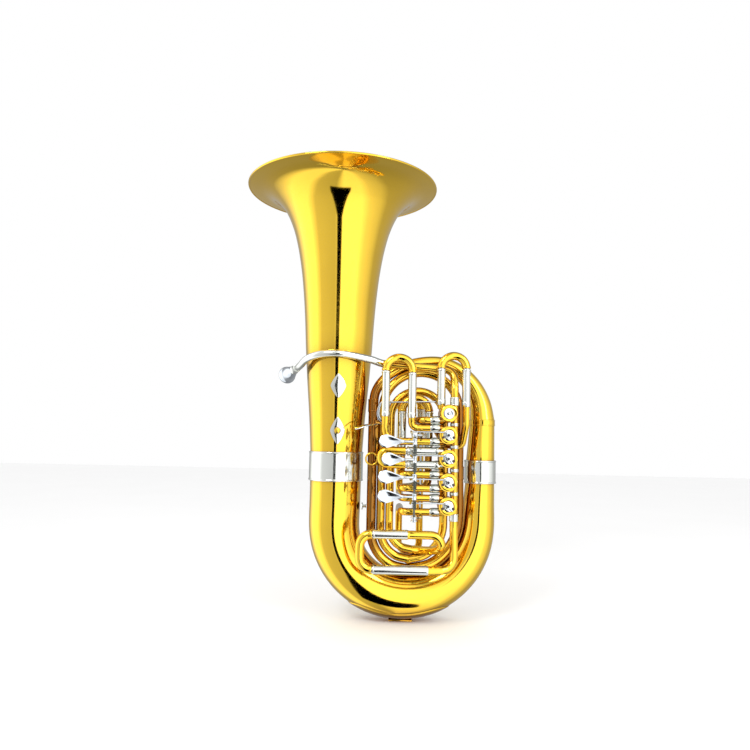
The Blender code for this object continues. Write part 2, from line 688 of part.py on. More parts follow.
def leadpipe():
    """Mouthpipe: round the bell, across behind the slides and down into the thumb valve."""
    path = [receiver_end(), beside_bell(*PIPE_TURN)]
    for degrees, height in ((222, 524), (242, 531), (262, 534), (282, 533)):
        path.append(beside_bell(degrees, height))
    x = VALVE_X + PORT_OFFSET
    path.append(Vector((-70, -63, 525)))
    path += bent_path([(-41, -53, 518), (x, -50, 509), (x, VALVE_Y, 468),
                       (x, VALVE_Y, VALVE_Z[0] + 25 + GAP)], [22, 20])
    pipe("leadpipe", path, taper(path, 7.2, 8.0), TUBE_SIDES, "nickel_silver")


def mouthpiece_parts():
    """Receiver on the leadpipe's end and the mouthpiece whose shank sits in it."""
    start = receiver_end() + RECEIVER_AXIS * GAP
    profile = [(8.3, 22), (8.3, 0), (6.6, 0), (6.6, 22)]
    turned("mouthpiece_receiver", profile, start, RECEIVER_AXIS, 12, "nickel_silver")
    base = start + RECEIVER_AXIS * 4
    outside = [(18.0, 70), (18.6, 67), (18.2, 64), (16.0, 60), (14.5, 48), (10.0, 34), (6.8, 26),
               (6.0, 20), (5.6, 0)]
    inside = [(4.4, 0), (4.2, 26), (7.0, 38), (12.0, 50), (13.5, 60), (14.5, 68), (16.0, 70)]
    piece = turned("mouthpiece", outside + inside, base, RECEIVER_AXIS, 14, "silver_plate")
    set_origin(piece, base)


# ---- Valve action -------------------------------------------------------------------------
TOUCH_X = (-35.0, -29.5, -35.5, -36.0)


def teardrop():
    """Finger touch outline: a wide round end at the left that narrows to the arm."""
    width = 13.5
    length = 44.0
    points = []
    for index in range(13):
        angle = math.radians(75 + 210 * index / 12)
        points.append((width * 1.15 * math.cos(angle), width * math.sin(angle)))
    points.append((length * 0.55, -7.0))
    points.append((length, -2.6))
    points.append((length, 2.6))
    points.append((length * 0.55, 7.0))
    return points


def paddle(number):
    """Finger paddle: touch plate, hinge barrel and the rear arm that pushes the link rod."""
    z = PADDLE_Z[number - 1]
    link_z = VALVE_Z[number] + STOP_THROW
    touch = flat_plate(f"paddle_{number}", teardrop(), 1.8, "silver_plate")
    upright = Matrix.Rotation(math.radians(90), 4, "X")
    place = Matrix.Translation(Vector((TOUCH_X[number - 1], HINGE_Y - 2, z)) * MM)
    touch.data.transform(place @ upright)
    neck = rod("neck", (4, HINGE_Y - 2, z), (HINGE_X - 2, HINGE_Y - 1, z), 2.4, 8, "silver_plate")
    combine(touch, neck, "UNION")
    barrel = rod("barrel", (HINGE_X, HINGE_Y, z - 6), (HINGE_X, HINGE_Y, z + 6), 4.8, 12,
                 "silver_plate")
    combine(touch, barrel, "UNION")
    tip = Vector((HINGE_X - STOP_THROW, LINK_Y, link_z))
    start_z = min(max(link_z, z - 3), z + 3)
    path = [Vector((HINGE_X - 1, HINGE_Y + 2, start_z)), Vector((HINGE_X - 2, HINGE_Y + 9, start_z)),
            tip + Vector((0, -4, 0)), tip]
    combine(touch, wire("arm", path, 1.9, 8, "silver_plate"), "UNION")
    pin = rod("pin", tip - Vector((0, 0, 3)), tip + Vector((0, 0, 3)), 1.6, 8, "silver_plate")
    combine(touch, pin, "UNION")
    cut_round(touch, (HINGE_X, HINGE_Y, z - 12), (HINGE_X, HINGE_Y, z + 12), 2.6, 10)
    set_origin(touch, (HINGE_X, HINGE_Y, z))


def link_rod(number):
    """Straight rod between a paddle's rear arm and a rotor's stop arm, open at both pivots."""
    z = VALVE_Z[number] + STOP_THROW
    reach = 1.6 + LINK_CLEARANCE
    piece = rod(f"link_rod_{number}", (HINGE_X - STOP_THROW + reach, LINK_Y, z),
                (VALVE_X - STOP_THROW - reach, LINK_Y, z), 1.6, 8, "silver_plate")
    set_origin(piece, (HINGE_X, LINK_Y, z))


def paddle_hinge():
    """Common hinge rod with a return spring over each barrel, and the bracket that holds it."""
    top = PADDLE_Z[0] + 14
    bottom = 213.0
    rod("hinge_rod", (HINGE_X, HINGE_Y, bottom), (HINGE_X, HINGE_Y, top), 2.0, 10,
        "spring_steel")
    for number, z in enumerate(PADDLE_Z, start=1):
        turns = 4
        high = z - 7.0
        pitch = 4.0
        path = []
        for index in range(turns * 6 + 1):
            angle = math.tau * index / 6
            path.append(Vector((HINGE_X + 4.0 * math.cos(angle), HINGE_Y + 4.0 * math.sin(angle),
                                high - pitch * index / 6 - 0.7)))
        wire(f"paddle_spring_{number}", path, 0.7, 4, "spring_steel")
    bracket = box("hinge_bracket", (HINGE_X - 6, HINGE_Y - 6, 214), (HINGE_X + 6, HINGE_Y + 6, 224),
                  "silver_plate")
    low_arm = wire("low_arm", [Vector((HINGE_X, HINGE_Y + 3, 219)), Vector((30, -100, 219)),
                               Vector((34, VALVE_Y - 11, 219)), Vector((34, VALVE_Y + 12, 208)),
                               Vector((34, VALVE_Y + 12, 300))], 2.6, 8, "silver_plate")
    combine(bracket, low_arm, "UNION")
    high_arm = wire("high_arm", [Vector((34, VALVE_Y + 12, 290)), Vector((34, VALVE_Y + 14, 376)),
                                 Vector((34, VALVE_Y - 12, 376)), Vector((35, -104, 373)),
                                 Vector((31, -117, 372.5)),
                                 Vector((HINGE_X + 3, HINGE_Y + 1, 372.5))],
                    2.6, 8, "silver_plate")
    combine(bracket, high_arm, "UNION")
    eye = rod("eye", (HINGE_X, HINGE_Y, 369.5), (HINGE_X, HINGE_Y, 376), 4.6, 12, "silver_plate")
    combine(bracket, eye, "UNION")
    cut_round(bracket, (HINGE_X, HINGE_Y, 205), (HINGE_X, HINGE_Y, 390), 2.4, 12)


def thumb_action():
    """Thumb lever, its link rod behind the slides, and the thumb ring with the lever's pin."""
    pivot = THUMB_PIVOT
    tip = pivot + Vector((THUMB_THROW, 0, math.sqrt(THUMB_ARM ** 2 - THUMB_THROW ** 2)))
    lever = rod("thumb_lever", pivot - Vector((0, 4.5, 0)), pivot + Vector((0, 4.5, 0)), 5.2, 14,
                "silver_plate")
    upper = wire("upper", [pivot + Vector((-2, 0, 2)),
                           Vector((THUMB_BOW_X, pivot.y, pivot.z + 11)),
                           Vector((THUMB_BOW_X, pivot.y, pivot.z + 32)),
                           Vector((THUMB_BOW_X + 7, pivot.y, tip.z)), tip], 2.0, 8, "silver_plate")
    combine(lever, upper, "UNION")
    lower = wire("lower", [pivot + Vector((-3, -1, 0)), Vector((-52, -60, 396)),
                           Vector((-76, -76, 392)), Vector((-96, -85, 385))],
                 [2.4, 2.6, 3.4, 5.0], 8, "silver_plate")
    combine(lever, lower, "UNION")
    pin = rod("pin", tip - Vector((0, 3, 0)), tip + Vector((0, 3, 0)), 1.6, 8, "silver_plate")
    combine(lever, pin, "UNION")
    cut_round(lever, pivot - Vector((0, 12, 0)), pivot + Vector((0, 12, 0)), 2.6)
    set_origin(lever, pivot)

    goal = Vector((VALVE_X + THUMB_THROW, CASING_BACK_Y + 5.5, VALVE_Z[0] + THUMB_THROW))
    reach = 1.6 + LINK_CLEARANCE
    link = wire("thumb_link_rod", [tip + Vector((reach, 0, 0)), Vector((68, tip.y, 443.5)),
                                   Vector((79, goal.y, 437)), goal - Vector((reach, 0, 0))],
                1.5, 8, "silver_plate")
    set_origin(link, tip)

    plate = box("thumb_ring", (-60, -33, 312), (-52, -31, 404), "nickel_silver")
    arm = wire("arm", [Vector((-56, -32, 398)), Vector((-40, -40, 398)), Vector((-40, -63, 398))],
               2.0, 12, "nickel_silver")
    combine(plate, arm, "UNION")
    post = wire("post", [Vector((-56, -32, 316)), Vector((-62, -42, 314)),
                         Vector((-64.5, RING_Y, 314.6))], 2.0, 8, "nickel_silver")
    combine(plate, post, "UNION")
    section = []
    for index in range(6):
        angle = -math.tau * index / 6
        section.append((11.5 + 1.7 * math.cos(angle), 1.7 * math.sin(angle)))
    loop = turned("loop", section, (-64.5, RING_Y, 326), (0, -1, 0), 14, "nickel_silver")
    combine(plate, loop, "UNION")


# ---- Small fittings -----------------------------------------------------------------------
def diamond(width, height):
    return [(-width, 0), (-3, -height), (3, -height), (width, 0), (3, height), (-3, height)]


def bell_fittings():
    """Diamond plates on the bell's front, and the brace between the bell and the coil."""
    upright = Matrix.Rotation(math.radians(90), 4, "X")
    upper = flat_plate("bell_flange", diamond(17, 26), 1.6, "nickel_silver")
    upper.data.transform(Matrix.Translation(Vector((-134, -67.2, 471)) * MM) @ upright)
    lower = flat_plate("lyre_socket", diamond(16, 29), 1.6, "nickel_silver")
    lower.data.transform(Matrix.Translation(Vector((-134, -60.4, 381)) * MM) @ upright)
    knob = rod("knob", (-134, -60, 382), (-134, -73, 382), 6.5, 12, "nickel_silver",
               end_radius=5.0)
    combine(lower, knob, "UNION")
    brace = rod("bell_brace", (BELL_AXIS_X + 55.5, COIL_Y / 2, 228),
                (COIL_LEFT[0] - 10.6, COIL_Y / 2, 228), 3.0, 8, "nickel_silver")
    pad = rod("pad", (BELL_AXIS_X + 55.5, COIL_Y / 2, 228), (BELL_AXIS_X + 57, COIL_Y / 2, 228),
              8.0, 12, "nickel_silver")
    combine(brace, pad, "UNION")


def main():
    clear_scene()
    bpy.context.scene.collection.children.link(bpy.data.collections.new("tuba"))
    make_materials()
    bell()
    bottom_bow()
    bow_guard()
    ferrules()
    outer_branch()
    top_bow()
    coil()
    tuning_tubes()
    for number in range(1, 6):
        valve_casing(number)
        rotor(number)
    valve_cap()
    valve_tubes()
    slides()
    leadpipe()
    mouthpiece_parts()
    for number in range(1, 5):
        paddle(number)
        link_rod(number)
    paddle_hinge()
    thumb_action()
    bell_fittings()


main()
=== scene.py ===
"""Looks of the five-valve rotary F tuba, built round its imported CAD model.

Tubes are read back from the CAD nodes as rings (centre and radius) and lofted again as smooth
pipes, so every tube keeps the place that the CAD gives it.  Lengths are in metres.
"""
import json
import math

import bmesh
import bpy
from mathutils import Matrix, Vector


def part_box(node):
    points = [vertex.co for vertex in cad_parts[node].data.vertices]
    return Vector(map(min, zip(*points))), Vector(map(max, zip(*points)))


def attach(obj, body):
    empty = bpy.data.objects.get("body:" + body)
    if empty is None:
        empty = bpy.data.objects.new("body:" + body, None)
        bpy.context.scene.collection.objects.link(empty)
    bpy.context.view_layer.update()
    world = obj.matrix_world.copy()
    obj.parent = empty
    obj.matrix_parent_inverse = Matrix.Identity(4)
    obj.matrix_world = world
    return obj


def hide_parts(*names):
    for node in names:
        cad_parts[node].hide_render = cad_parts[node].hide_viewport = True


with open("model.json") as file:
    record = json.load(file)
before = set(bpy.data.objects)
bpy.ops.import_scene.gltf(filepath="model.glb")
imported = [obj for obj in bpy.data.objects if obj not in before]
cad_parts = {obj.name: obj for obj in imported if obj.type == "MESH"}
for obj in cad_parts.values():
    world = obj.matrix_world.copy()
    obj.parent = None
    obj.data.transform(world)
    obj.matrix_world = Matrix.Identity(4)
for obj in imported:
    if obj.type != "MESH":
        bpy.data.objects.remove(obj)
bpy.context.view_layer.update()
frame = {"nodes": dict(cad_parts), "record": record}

MM = 0.001
WALL = 0.7 * MM
BODY = "tuba_body"
RECORD = frame["record"]["behaviour"]
JOINTS = {joint["child"]: joint for joint in RECORD["joints"]}
BODY_OF = {node: body for body, nodes in RECORD["bodies"].items() for node in nodes}


# ---- Node materials -----------------------------------------------------------------------
class Nodes:
    """Short names for the shader nodes that every material here is made of."""

    def __init__(self, name):
        self.material = bpy.data.materials.new(name)
        self.material.use_nodes = True
        self.tree = self.material.node_tree
        self.shader = self.tree.nodes["Principled BSDF"]
        self.coordinates = self.add("ShaderNodeTexCoord").outputs["Object"]

    def add(self, kind, **inputs):
        node = self.tree.nodes.new(kind)
        for key, value in inputs.items():
            self.set(node, key.replace("_", " "), value)
        return node

    def set(self, node, key, value):
        """Give a socket, named or numbered, a value or another node's output."""
        socket = node.inputs[key]
        if isinstance(value, bpy.types.NodeSocket):
            self.tree.links.new(value, socket)
        else:
            socket.default_value = value

    def noise(self, scale, detail=3.0, stretch=(1, 1, 1)):
        mapping = self.add("ShaderNodeMapping", Vector=self.coordinates, Scale=stretch)
        noise = self.add("ShaderNodeTexNoise", Vector=mapping.outputs[0], Scale=scale,
                         Detail=detail)
        return noise.outputs["Fac"]

    def remap(self, value, low, high, from_low=0.3, from_high=0.7):
        node = self.add("ShaderNodeMapRange", Value=value, From_Min=from_low, From_Max=from_high,
                        To_Min=low, To_Max=high)
        return node.outputs["Result"]

    def mix(self, factor, first, second):
        node = self.tree.nodes.new("ShaderNodeMix")
        node.data_type = "RGBA"
        self.set(node, "Factor", factor)
        for socket, value in ((node.inputs[6], first), (node.inputs[7], second)):
            if isinstance(value, bpy.types.NodeSocket):
                self.tree.links.new(value, socket)
            else:
                socket.default_value = (*value, 1.0)
        return node.outputs[2]

    def larger(self, first, second):
        node = self.add("ShaderNodeMath")
        node.operation = "MAXIMUM"
        self.set(node, 0, first)
        self.set(node, 1, second)
        return node.outputs[0]

    def beyond(self, left, right, strength, fade=0.025):
        """A mask for painted shade, rising outside the planes x = left and x = right."""
        across = self.add("ShaderNodeSeparateXYZ", Vector=self.coordinates).outputs["X"]
        return self.larger(self.remap(across, 0.0, strength, left, left - fade),
                           self.remap(across, 0.0, strength, right, right + fade))

    def bump(self, height, strength, distance):
        node = self.add("ShaderNodeBump", Height=height, Strength=strength, Distance=distance)
        return node.outputs["Normal"]


def polished_metal(name, base, deep, rough_low, rough_high, coat, bump=0.03, shade_strength=0.9,
                   lit_between=None):
    """Polished metal with faint tone changes, hairlines from the buffing wheel and a clear coat.

    base is the clean metal; deep is its darker tone, mixed in at random spots and as painted shade where
    tubes lie close.
    The last argument gives the two x between which the colour stays clean; outside them it is browned
    towards a dark tone as painted shade."""
    look = Nodes(name)
    cloud = look.noise(9.0, 4.0)
    hair = look.noise(60.0, 2.0, (1, 1, 14))
    specks = look.noise(900.0, 1.0)
    # Painted shade: the colour darkens towards deep where other surfaces lie close, read from ambient
    # occlusion.
    closeness = look.add("ShaderNodeAmbientOcclusion", Distance=0.045)
    closeness.samples = 4
    painted_shade = look.remap(closeness.outputs["AO"], shade_strength, 0.0, 0.2, 0.95)
    toned = look.mix(look.remap(cloud, 0.0, 0.10), base, deep)
    # Painted shade: outside the two planes the colour is browned towards a dark tone.
    if lit_between:
        toned = look.mix(look.beyond(*lit_between, 0.93), toned, PAINTED_SHADE_TONE)
    look.set(look.shader, "Base Color", look.mix(painted_shade, toned, deep))
    look.set(look.shader, "Metallic", 1.0)
    rough = look.add("ShaderNodeMath", Value=look.remap(hair, rough_low, rough_high))
    rough.operation = "ADD"
    look.set(rough, 1, look.remap(specks, 0.0, 0.03))
    look.set(look.shader, "Roughness", rough.outputs[0])
    look.set(look.shader, "Coat Weight", coat)
    look.set(look.shader, "Coat Roughness", 0.04)
    look.set(look.shader, "Normal", look.bump(hair, bump, 0.0002))
    return look.material


def dark_material(name, colour, roughness):
    """Cork, felt or blackened steel: matt, with a fine grain."""
    look = Nodes(name)
    grain = look.noise(420.0, 5.0)
    shade = tuple(channel * 0.45 for channel in colour)
    look.set(look.shader, "Base Color", look.mix(look.remap(grain, 0.0, 1.0), colour, shade))
    look.set(look.shader, "Roughness", look.remap(grain, roughness, roughness + 0.2))
    look.set(look.shader, "Normal", look.bump(grain, 0.4, 0.0002))
    return look.material


# Clean brass, and its darker tone for random spots and painted shade.
BRASS_TONES = ((0.98, 0.64, 0.055), (0.28, 0.075, 0.004))
# Dark tone of the painted shade on the coil's outer tubes and the top bow's left part.
PAINTED_SHADE_TONE = (0.24, 0.085, 0.01)
BRASS = polished_metal("lacquered_brass", *BRASS_TONES, 0.04, 0.09, 0.3)
# Copies of the brass with painted shade outside the given planes.
COIL_BRASS_SHADED = polished_metal("coil_brass_painted_shade", *BRASS_TONES, 0.04, 0.09, 0.3,
                            lit_between=(-34 * MM, 90 * MM))
TOP_BRASS_SHADED = polished_metal("top_bow_brass_painted_shade", *BRASS_TONES, 0.04, 0.09, 0.3,
                           lit_between=(-30 * MM, 1.0))
NICKEL = polished_metal("nickel_silver", (0.80, 0.82, 0.78), (0.26, 0.28, 0.22), 0.08, 0.16, 0.1,
                        shade_strength=0.6)
SILVER = polished_metal("silver_plate", (0.68, 0.73, 0.78), (0.18, 0.22, 0.28), 0.05, 0.12, 0.05,
                        shade_strength=0.6)
STEEL = polished_metal("spring_steel", (0.16, 0.18, 0.17), (0.03, 0.035, 0.03), 0.18, 0.32, 0.0)
CORK = dark_material("stop_cork", (0.10, 0.07, 0.05), 0.7)
FELT = dark_material("black_screw", (0.03, 0.03, 0.035), 0.35)
SLOT_OF = {"lacquered_brass": BRASS, "nickel_silver": NICKEL, "silver_plate": SILVER,
           "spring_steel": STEEL}


# ---- Mesh tools ---------------------------------------------------------------------------
def piece_from(name, shape, material, body=BODY, stands_for=(), sharp=40):
    """Turn a bmesh into a smooth-shaded piece that rides on a body."""
    bmesh.ops.recalc_face_normals(shape, faces=shape.faces)
    mesh = bpy.data.meshes.new(name)
    shape.to_mesh(mesh)
    shape.free()
    mesh.materials.append(material)
    mesh.shade_smooth()
    mesh.set_sharp_from_angle(angle=math.radians(sharp))
    piece = bpy.data.objects.new(name, mesh)
    bpy.context.scene.collection.objects.link(piece)
    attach(piece, body)
    if stands_for:
        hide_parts(*stands_for)
    return piece


def frames_along(path):
    """Parallel-transported pairs of side vectors for each point of a path."""
    tangents = []
    for index in range(len(path)):
        before = path[max(index - 1, 0)]
        after = path[min(index + 1, len(path) - 1)]
        tangents.append((after - before).normalized())
    side = tangents[0].orthogonal().normalized()
    sides = []
    for index, tangent in enumerate(tangents):
        if index:
            turn = tangents[index - 1].rotation_difference(tangent)
            side = turn @ side
        side = (side - tangent * side.dot(tangent)).normalized()
        sides.append((side, tangent.cross(side)))
    return sides


def sweep(shape, path, radii, count=32, wall=None, closed=False):
    """Add a round section swept along a path; with a wall it is a hollow, open-ended pipe."""
    sides = frames_along(path)
    skins = [0.0] if wall is None else [0.0, wall]
    rings = []
    for inset in skins:
        for point, radius, (across, up) in zip(path, radii, sides):
            ring = []
            for step in range(count):
                angle = math.tau * step / count
                reach = radius - inset
                offset = across * (reach * math.cos(angle)) + up * (reach * math.sin(angle))
                ring.append(shape.verts.new(point + offset))
            rings.append(ring)
    length = len(path)
    order = list(range(length))
    if wall is not None:
        order += list(range(2 * length - 1, length - 1, -1)) + [0]
    elif closed:
        order.append(0)
    for first, second in zip(order, order[1:]):
        for step in range(count):
            after = (step + 1) % count
            shape.faces.new((rings[first][step], rings[first][after],
                             rings[second][after], rings[second][step]))
    if wall is None and not closed:
        shape.faces.new(rings[0])
        shape.faces.new(rings[-1])


def lathe(shape, profile, base, direction, count=48):
    """Add a turned form: profile is a closed loop or an axis-to-axis run of (radius, height)."""
    turn = Vector(direction).to_track_quat("Z", "Y")
    solid = profile[0][0] < 1e-9
    rings = []
    for radius, height in profile:
        if radius < 1e-9:
            rings.append([shape.verts.new(turn @ Vector((0, 0, height)) + Vector(base))])
            continue
        ring = []
        for step in range(count):
            angle = math.tau * step / count
            spot = Vector((radius * math.cos(angle), radius * math.sin(angle), height))
            ring.append(shape.verts.new(turn @ spot + Vector(base)))
        rings.append(ring)
    pairs = list(zip(rings, rings[1:]))
    if not solid:
        pairs.append((rings[-1], rings[0]))
    for lower, upper in pairs:
        for step in range(count):
            after = (step + 1) % count
            if len(lower) == 1:
                shape.faces.new((lower[0], upper[after], upper[step]))
            elif len(upper) == 1:
                shape.faces.new((lower[step], lower[after], upper[0]))
            else:
                shape.faces.new((lower[step], lower[after], upper[after], upper[step]))


def ball(shape, centre, radius, rings=12, count=20):
    profile = [(radius * math.sin(math.pi * i / rings), -radius * math.cos(math.pi * i / rings))
               for i in range(rings + 1)]
    profile[0] = (0.0, -radius)
    profile[-1] = (0.0, radius)
    lathe(shape, profile, centre, (0, 0, 1), count)


def bar(shape, start, end, radius, count=20, end_radius=None, bevel=0.3 * MM):
    """A round bar with slightly broken edges."""
    length = (Vector(end) - Vector(start)).length
    last = radius if end_radius is None else end_radius
    bevel = min(bevel, length * 0.3, radius * 0.5, last * 0.5)
    profile = [(0.0, 0.0), (radius - bevel, 0.0), (radius, bevel), (last, length - bevel),
               (last - bevel, length), (0.0, length)]
    lathe(shape, profile, start, Vector(end) - Vector(start), count)


def ferrule(shape, start, end, radius, lip=0.7 * MM, bead=0.45 * MM, count=40):
    """A sleeve ring round a tube, with a turned bead near each end."""
    length = (Vector(end) - Vector(start)).length
    outer = radius + lip
    width = min(2.2 * MM, length * 0.22)
    profile = [(radius - 0.2 * MM, 0.0), (outer - 0.2 * MM, 0.0)]
    for low, high in ((0.0, width), (length - width, length)):
        for step in range(7):
            angle = math.pi * step / 6
            profile.append((outer + bead * math.sin(angle),
                            low + (high - low) * (1 - math.cos(angle)) / 2))
    profile += [(outer - 0.2 * MM, length), (radius - 0.2 * MM, length)]
    lathe(shape, profile, start, Vector(end) - Vector(start), count)


# ---- Reading the CAD tubes ----------------------------------------------------------------
def rings_of(node):
    """Centres and radii of the rings of a CAD tube, from the end it was built from to the other."""
    source = bmesh.new()
    source.from_mesh(frame["nodes"][node].data)
    bmesh.ops.remove_doubles(source, verts=source.verts, dist=0.02 * MM)
    source.verts.index_update()
    rims = [edge for edge in source.edges
            if edge.calc_length() < 1.25 * WALL and edge.calc_face_angle() < 0.05]
    loose = {vert for edge in rims for vert in edge.verts}
    ends = []
    while loose:
        start = min(loose, key=lambda vert: vert.index)
        group = {start}
        waiting = [start]
        while waiting:
            for edge in waiting.pop().link_edges:
                for vert in edge.verts:
                    if vert in loose and vert not in group:
                        group.add(vert)
                        waiting.append(vert)
        loose -= group
        if len(group) >= 16:
            ends.append(sorted(group, key=lambda vert: vert.index))
    outer_ends = []
    inner = set()
    for group in ends:
        middle = sum((vert.co for vert in group), Vector()) / len(group)
        ordered = sorted(group, key=lambda vert: (vert.co - middle).length)
        half = len(ordered) // 2
        inner.update(ordered[:half])
        outer_ends.append(ordered[half:])
    assert len(outer_ends) == 2, (node, len(outer_ends))
    seen = set(outer_ends[0]) | inner
    ring = list(outer_ends[0])
    centres = []
    radii = []
    while ring:
        centre = sum((vert.co for vert in ring), Vector()) / len(ring)
        centres.append(centre)
        radii.append(sum((vert.co - centre).length for vert in ring) / len(ring))
        following = []
        for vert in ring:
            for edge in vert.link_edges:
                other = edge.other_vert(vert)
                if other not in seen:
                    seen.add(other)
                    following.append(other)
        ring = following
    source.free()
    return centres, radii


def tangents_of(centres):
    """Direction at each ring; a long straight run outweighs the short chords of a bend."""
    chords = [after - before for before, after in zip(centres, centres[1:])]
    tangents = [chords[0].normalized()]
    for before, after in zip(chords, chords[1:]):
        first = before.normalized()
        second = after.normalized()
        weight_first = before.length ** 3
        weight_second = after.length ** 3
        share = weight_second / (weight_first + weight_second)
        tangents.append((first + (second - first) * share).normalized())
    tangents.append(chords[-1].normalized())
    return tangents


def smooth_path(centres, radii, spacing=3 * MM):
    """A fine, smooth centre line through the rings, with its radius at each point."""
    tangents = tangents_of(centres)
    path = []
    widths = []
    for index in range(len(centres) - 1):
        start = centres[index]
        end = centres[index + 1]
        chord = (end - start).length
        bend = tangents[index].angle(tangents[index + 1])
        pull = chord / math.cos(bend / 4) ** 2
        count = max(1, math.ceil(chord / spacing), math.ceil(math.degrees(bend) / 5))
        for step in range(count):
            t = step / count
            point = ((2 * t ** 3 - 3 * t ** 2 + 1) * start
                     + (t ** 3 - 2 * t ** 2 + t) * pull * tangents[index]
                     + (3 * t ** 2 - 2 * t ** 3) * end
                     + (t ** 3 - t ** 2) * pull * tangents[index + 1])
            path.append(point)
            widths.append(radii[index] + (radii[index + 1] - radii[index]) * t)
    path.append(centres[-1])
    widths.append(radii[-1])
    return path, widths


def tube(node, tell=None, looks=(BRASS, NICKEL), count=40):
    """Redraw a CAD tube as smooth pipes; tell(point, radius) picks the metal of each stretch."""
    path, radii = smooth_path(*rings_of(node))
    body = BODY_OF[node]
    picks = [int(tell(point, radius)) if tell else 0 for point, radius in zip(path, radii)]
    cuts = [0] + [index for index in range(1, len(path) - 1) if picks[index] != picks[index - 1]]
    cuts.append(len(path) - 1)
    for number, (first, last) in enumerate(zip(cuts, cuts[1:]), start=1):
        shape = bmesh.new()
        sweep(shape, path[first:last + 1], radii[first:last + 1], count, WALL)
        piece_from(f"{node}_pipe_{number}", shape, looks[picks[first]], body, (node,))
    return path, radii


# ---- Places read from the CAD -------------------------------------------------------------
def corners(node):
    low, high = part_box(node)
    return Vector(low), Vector(high)


def at(x, y, z):
    """A point given in millimetres."""
    return Vector((x, y, z)) * MM


def curve_through(points, per_span=8):
    """A smooth curve that passes through the points, with even speed between them."""
    points = [Vector(point) for point in points]
    padded = [points[0] * 2 - points[1]] + points + [points[-1] * 2 - points[-2]]
    result = []
    for before, start, end, after in zip(padded, padded[1:], padded[2:], padded[3:]):
        span = (end - start).length
        ahead = (end - start) / span
        back = (start - before) / (start - before).length
        onward = (after - end) / (after - end).length
        weight_back = span / (span + (start - before).length)
        weight_onward = span / (span + (after - end).length)
        pull_start = (back * weight_back + ahead * (1 - weight_back)) * span
        pull_end = (onward * (1 - weight_onward) + ahead * weight_onward) * span
        if (start - before).length > span:
            pull_start = (ahead * (start - before).length + back * span).normalized() * span
        for step in range(per_span):
            t = step / per_span
            result.append((2 * t ** 3 - 3 * t ** 2 + 1) * start + (t ** 3 - 2 * t ** 2 + t) * pull_start
                          + (3 * t ** 2 - 2 * t ** 3) * end + (t ** 3 - t ** 2) * pull_end)
    result.append(points[-1])
    return result


def wire_piece(name, points, radius, material, body=BODY, stands_for=(), count=16, per_span=8,
               end_radius=None):
    """A smooth rod through the points, its ends rounded by small balls."""
    path = curve_through(points, per_span)
    last = radius if end_radius is None else end_radius
    radii = [radius + (last - radius) * index / (len(path) - 1) for index in range(len(path))]
    shape = bmesh.new()
    sweep(shape, path, radii, count)
    ball(shape, path[0], radii[0], 8, count)
    ball(shape, path[-1], radii[-1], 8, count)
    return piece_from(name, shape, material, body, stands_for)


# ---- Bell, bows and ferrules --------------------------------------------------------------
BELL_LOW, BELL_HIGH = corners("bell")
BELL_AXIS = Vector(((BELL_LOW.x + BELL_HIGH.x) / 2, 0.0, 0.0))
RIM_RADIUS = (BELL_HIGH.x - BELL_LOW.x) / 2
BEAD = 2.3 * MM
BELL_WALL = 0.9 * MM


def levels(node, axis):
    """(outer radius, height) at each level of an upright turned CAD node, from its foot up."""
    widest = {}
    for vert in frame["nodes"][node].data.vertices:
        height = round(vert.co.z, 4)
        reach = math.hypot(vert.co.x - axis.x, vert.co.y - axis.y)
        widest[height] = max(reach, widest.get(height, 0.0))
    return [(widest[height], height) for height in sorted(widest)]


def bell_curve():
    """Outer contour of the bell as points (radius, 0, height) up to the rolled rim."""
    below_rim = [(radius, 0.0, height) for radius, height in levels("bell", BELL_AXIS)
                 if height < BELL_HIGH.z - 5 * MM]
    rim = (RIM_RADIUS - BEAD, 0.0, BELL_HIGH.z - BEAD * 1.5)
    return curve_through(below_rim + [rim], 10)


CONTOUR = bell_curve()


def bell_radius(height):
    """Outside radius of the bell at a height."""
    for low, high in zip(CONTOUR, CONTOUR[1:]):
        if low.z <= height <= high.z:
            share = (height - low.z) / (high.z - low.z)
            return low.x + (high.x - low.x) * share
    return CONTOUR[0].x


def bell():
    inside = []
    for index, point in enumerate(CONTOUR):
        ahead = CONTOUR[min(index + 1, len(CONTOUR) - 1)] - CONTOUR[max(index - 1, 0)]
        inward = Vector((-ahead.z, 0.0, ahead.x)).normalized()
        inside.append(point + inward * BELL_WALL)
    profile = [(point.x, point.z) for point in CONTOUR + inside[::-1]]
    shape = bmesh.new()
    lathe(shape, profile, BELL_AXIS, (0, 0, 1), 160)
    piece_from("bell_flare", shape, BRASS, stands_for=("bell",))
    shape = bmesh.new()
    ring = []
    for step in range(16):
        angle = math.tau * step / 16
        ring.append((RIM_RADIUS - BEAD + BEAD * math.cos(angle),
                     BELL_HIGH.z - BEAD + BEAD * math.sin(angle)))
    lathe(shape, ring, BELL_AXIS, (0, 0, 1), 160)
    piece_from("bell_rim_bead", shape, BRASS, stands_for=("bell",))


def joint_band(node, bead=0.9 * MM):
    """A wide ferrule round a main joint, with a bead turned at each end."""
    low, high = corners(node)
    radius = (high.x - low.x) / 2
    axis = Vector(((low.x + high.x) / 2, (low.y + high.y) / 2, low.z))
    length = high.z - low.z
    width = 3.6 * MM
    inner = radius - 1.6 * MM
    profile = [(inner, 0.0), (radius - 0.4 * MM, 0.0)]
    for start in (0.0, length - width):
        for step in range(9):
            share = step / 8
            profile.append((radius - 0.4 * MM + bead * math.sin(math.pi * share),
                            start + width * share))
        if start == 0.0:
            profile.append((radius - 0.4 * MM, width + 1.0 * MM))
            profile.append((radius - 0.4 * MM, length - width - 1.0 * MM))
    profile += [(inner, length)]
    shape = bmesh.new()
    lathe(shape, profile, axis, (0, 0, 1), 96)
    piece_from(f"{node}_band", shape, NICKEL, stands_for=(node,))


GUARD_ANGLE = math.radians(50)


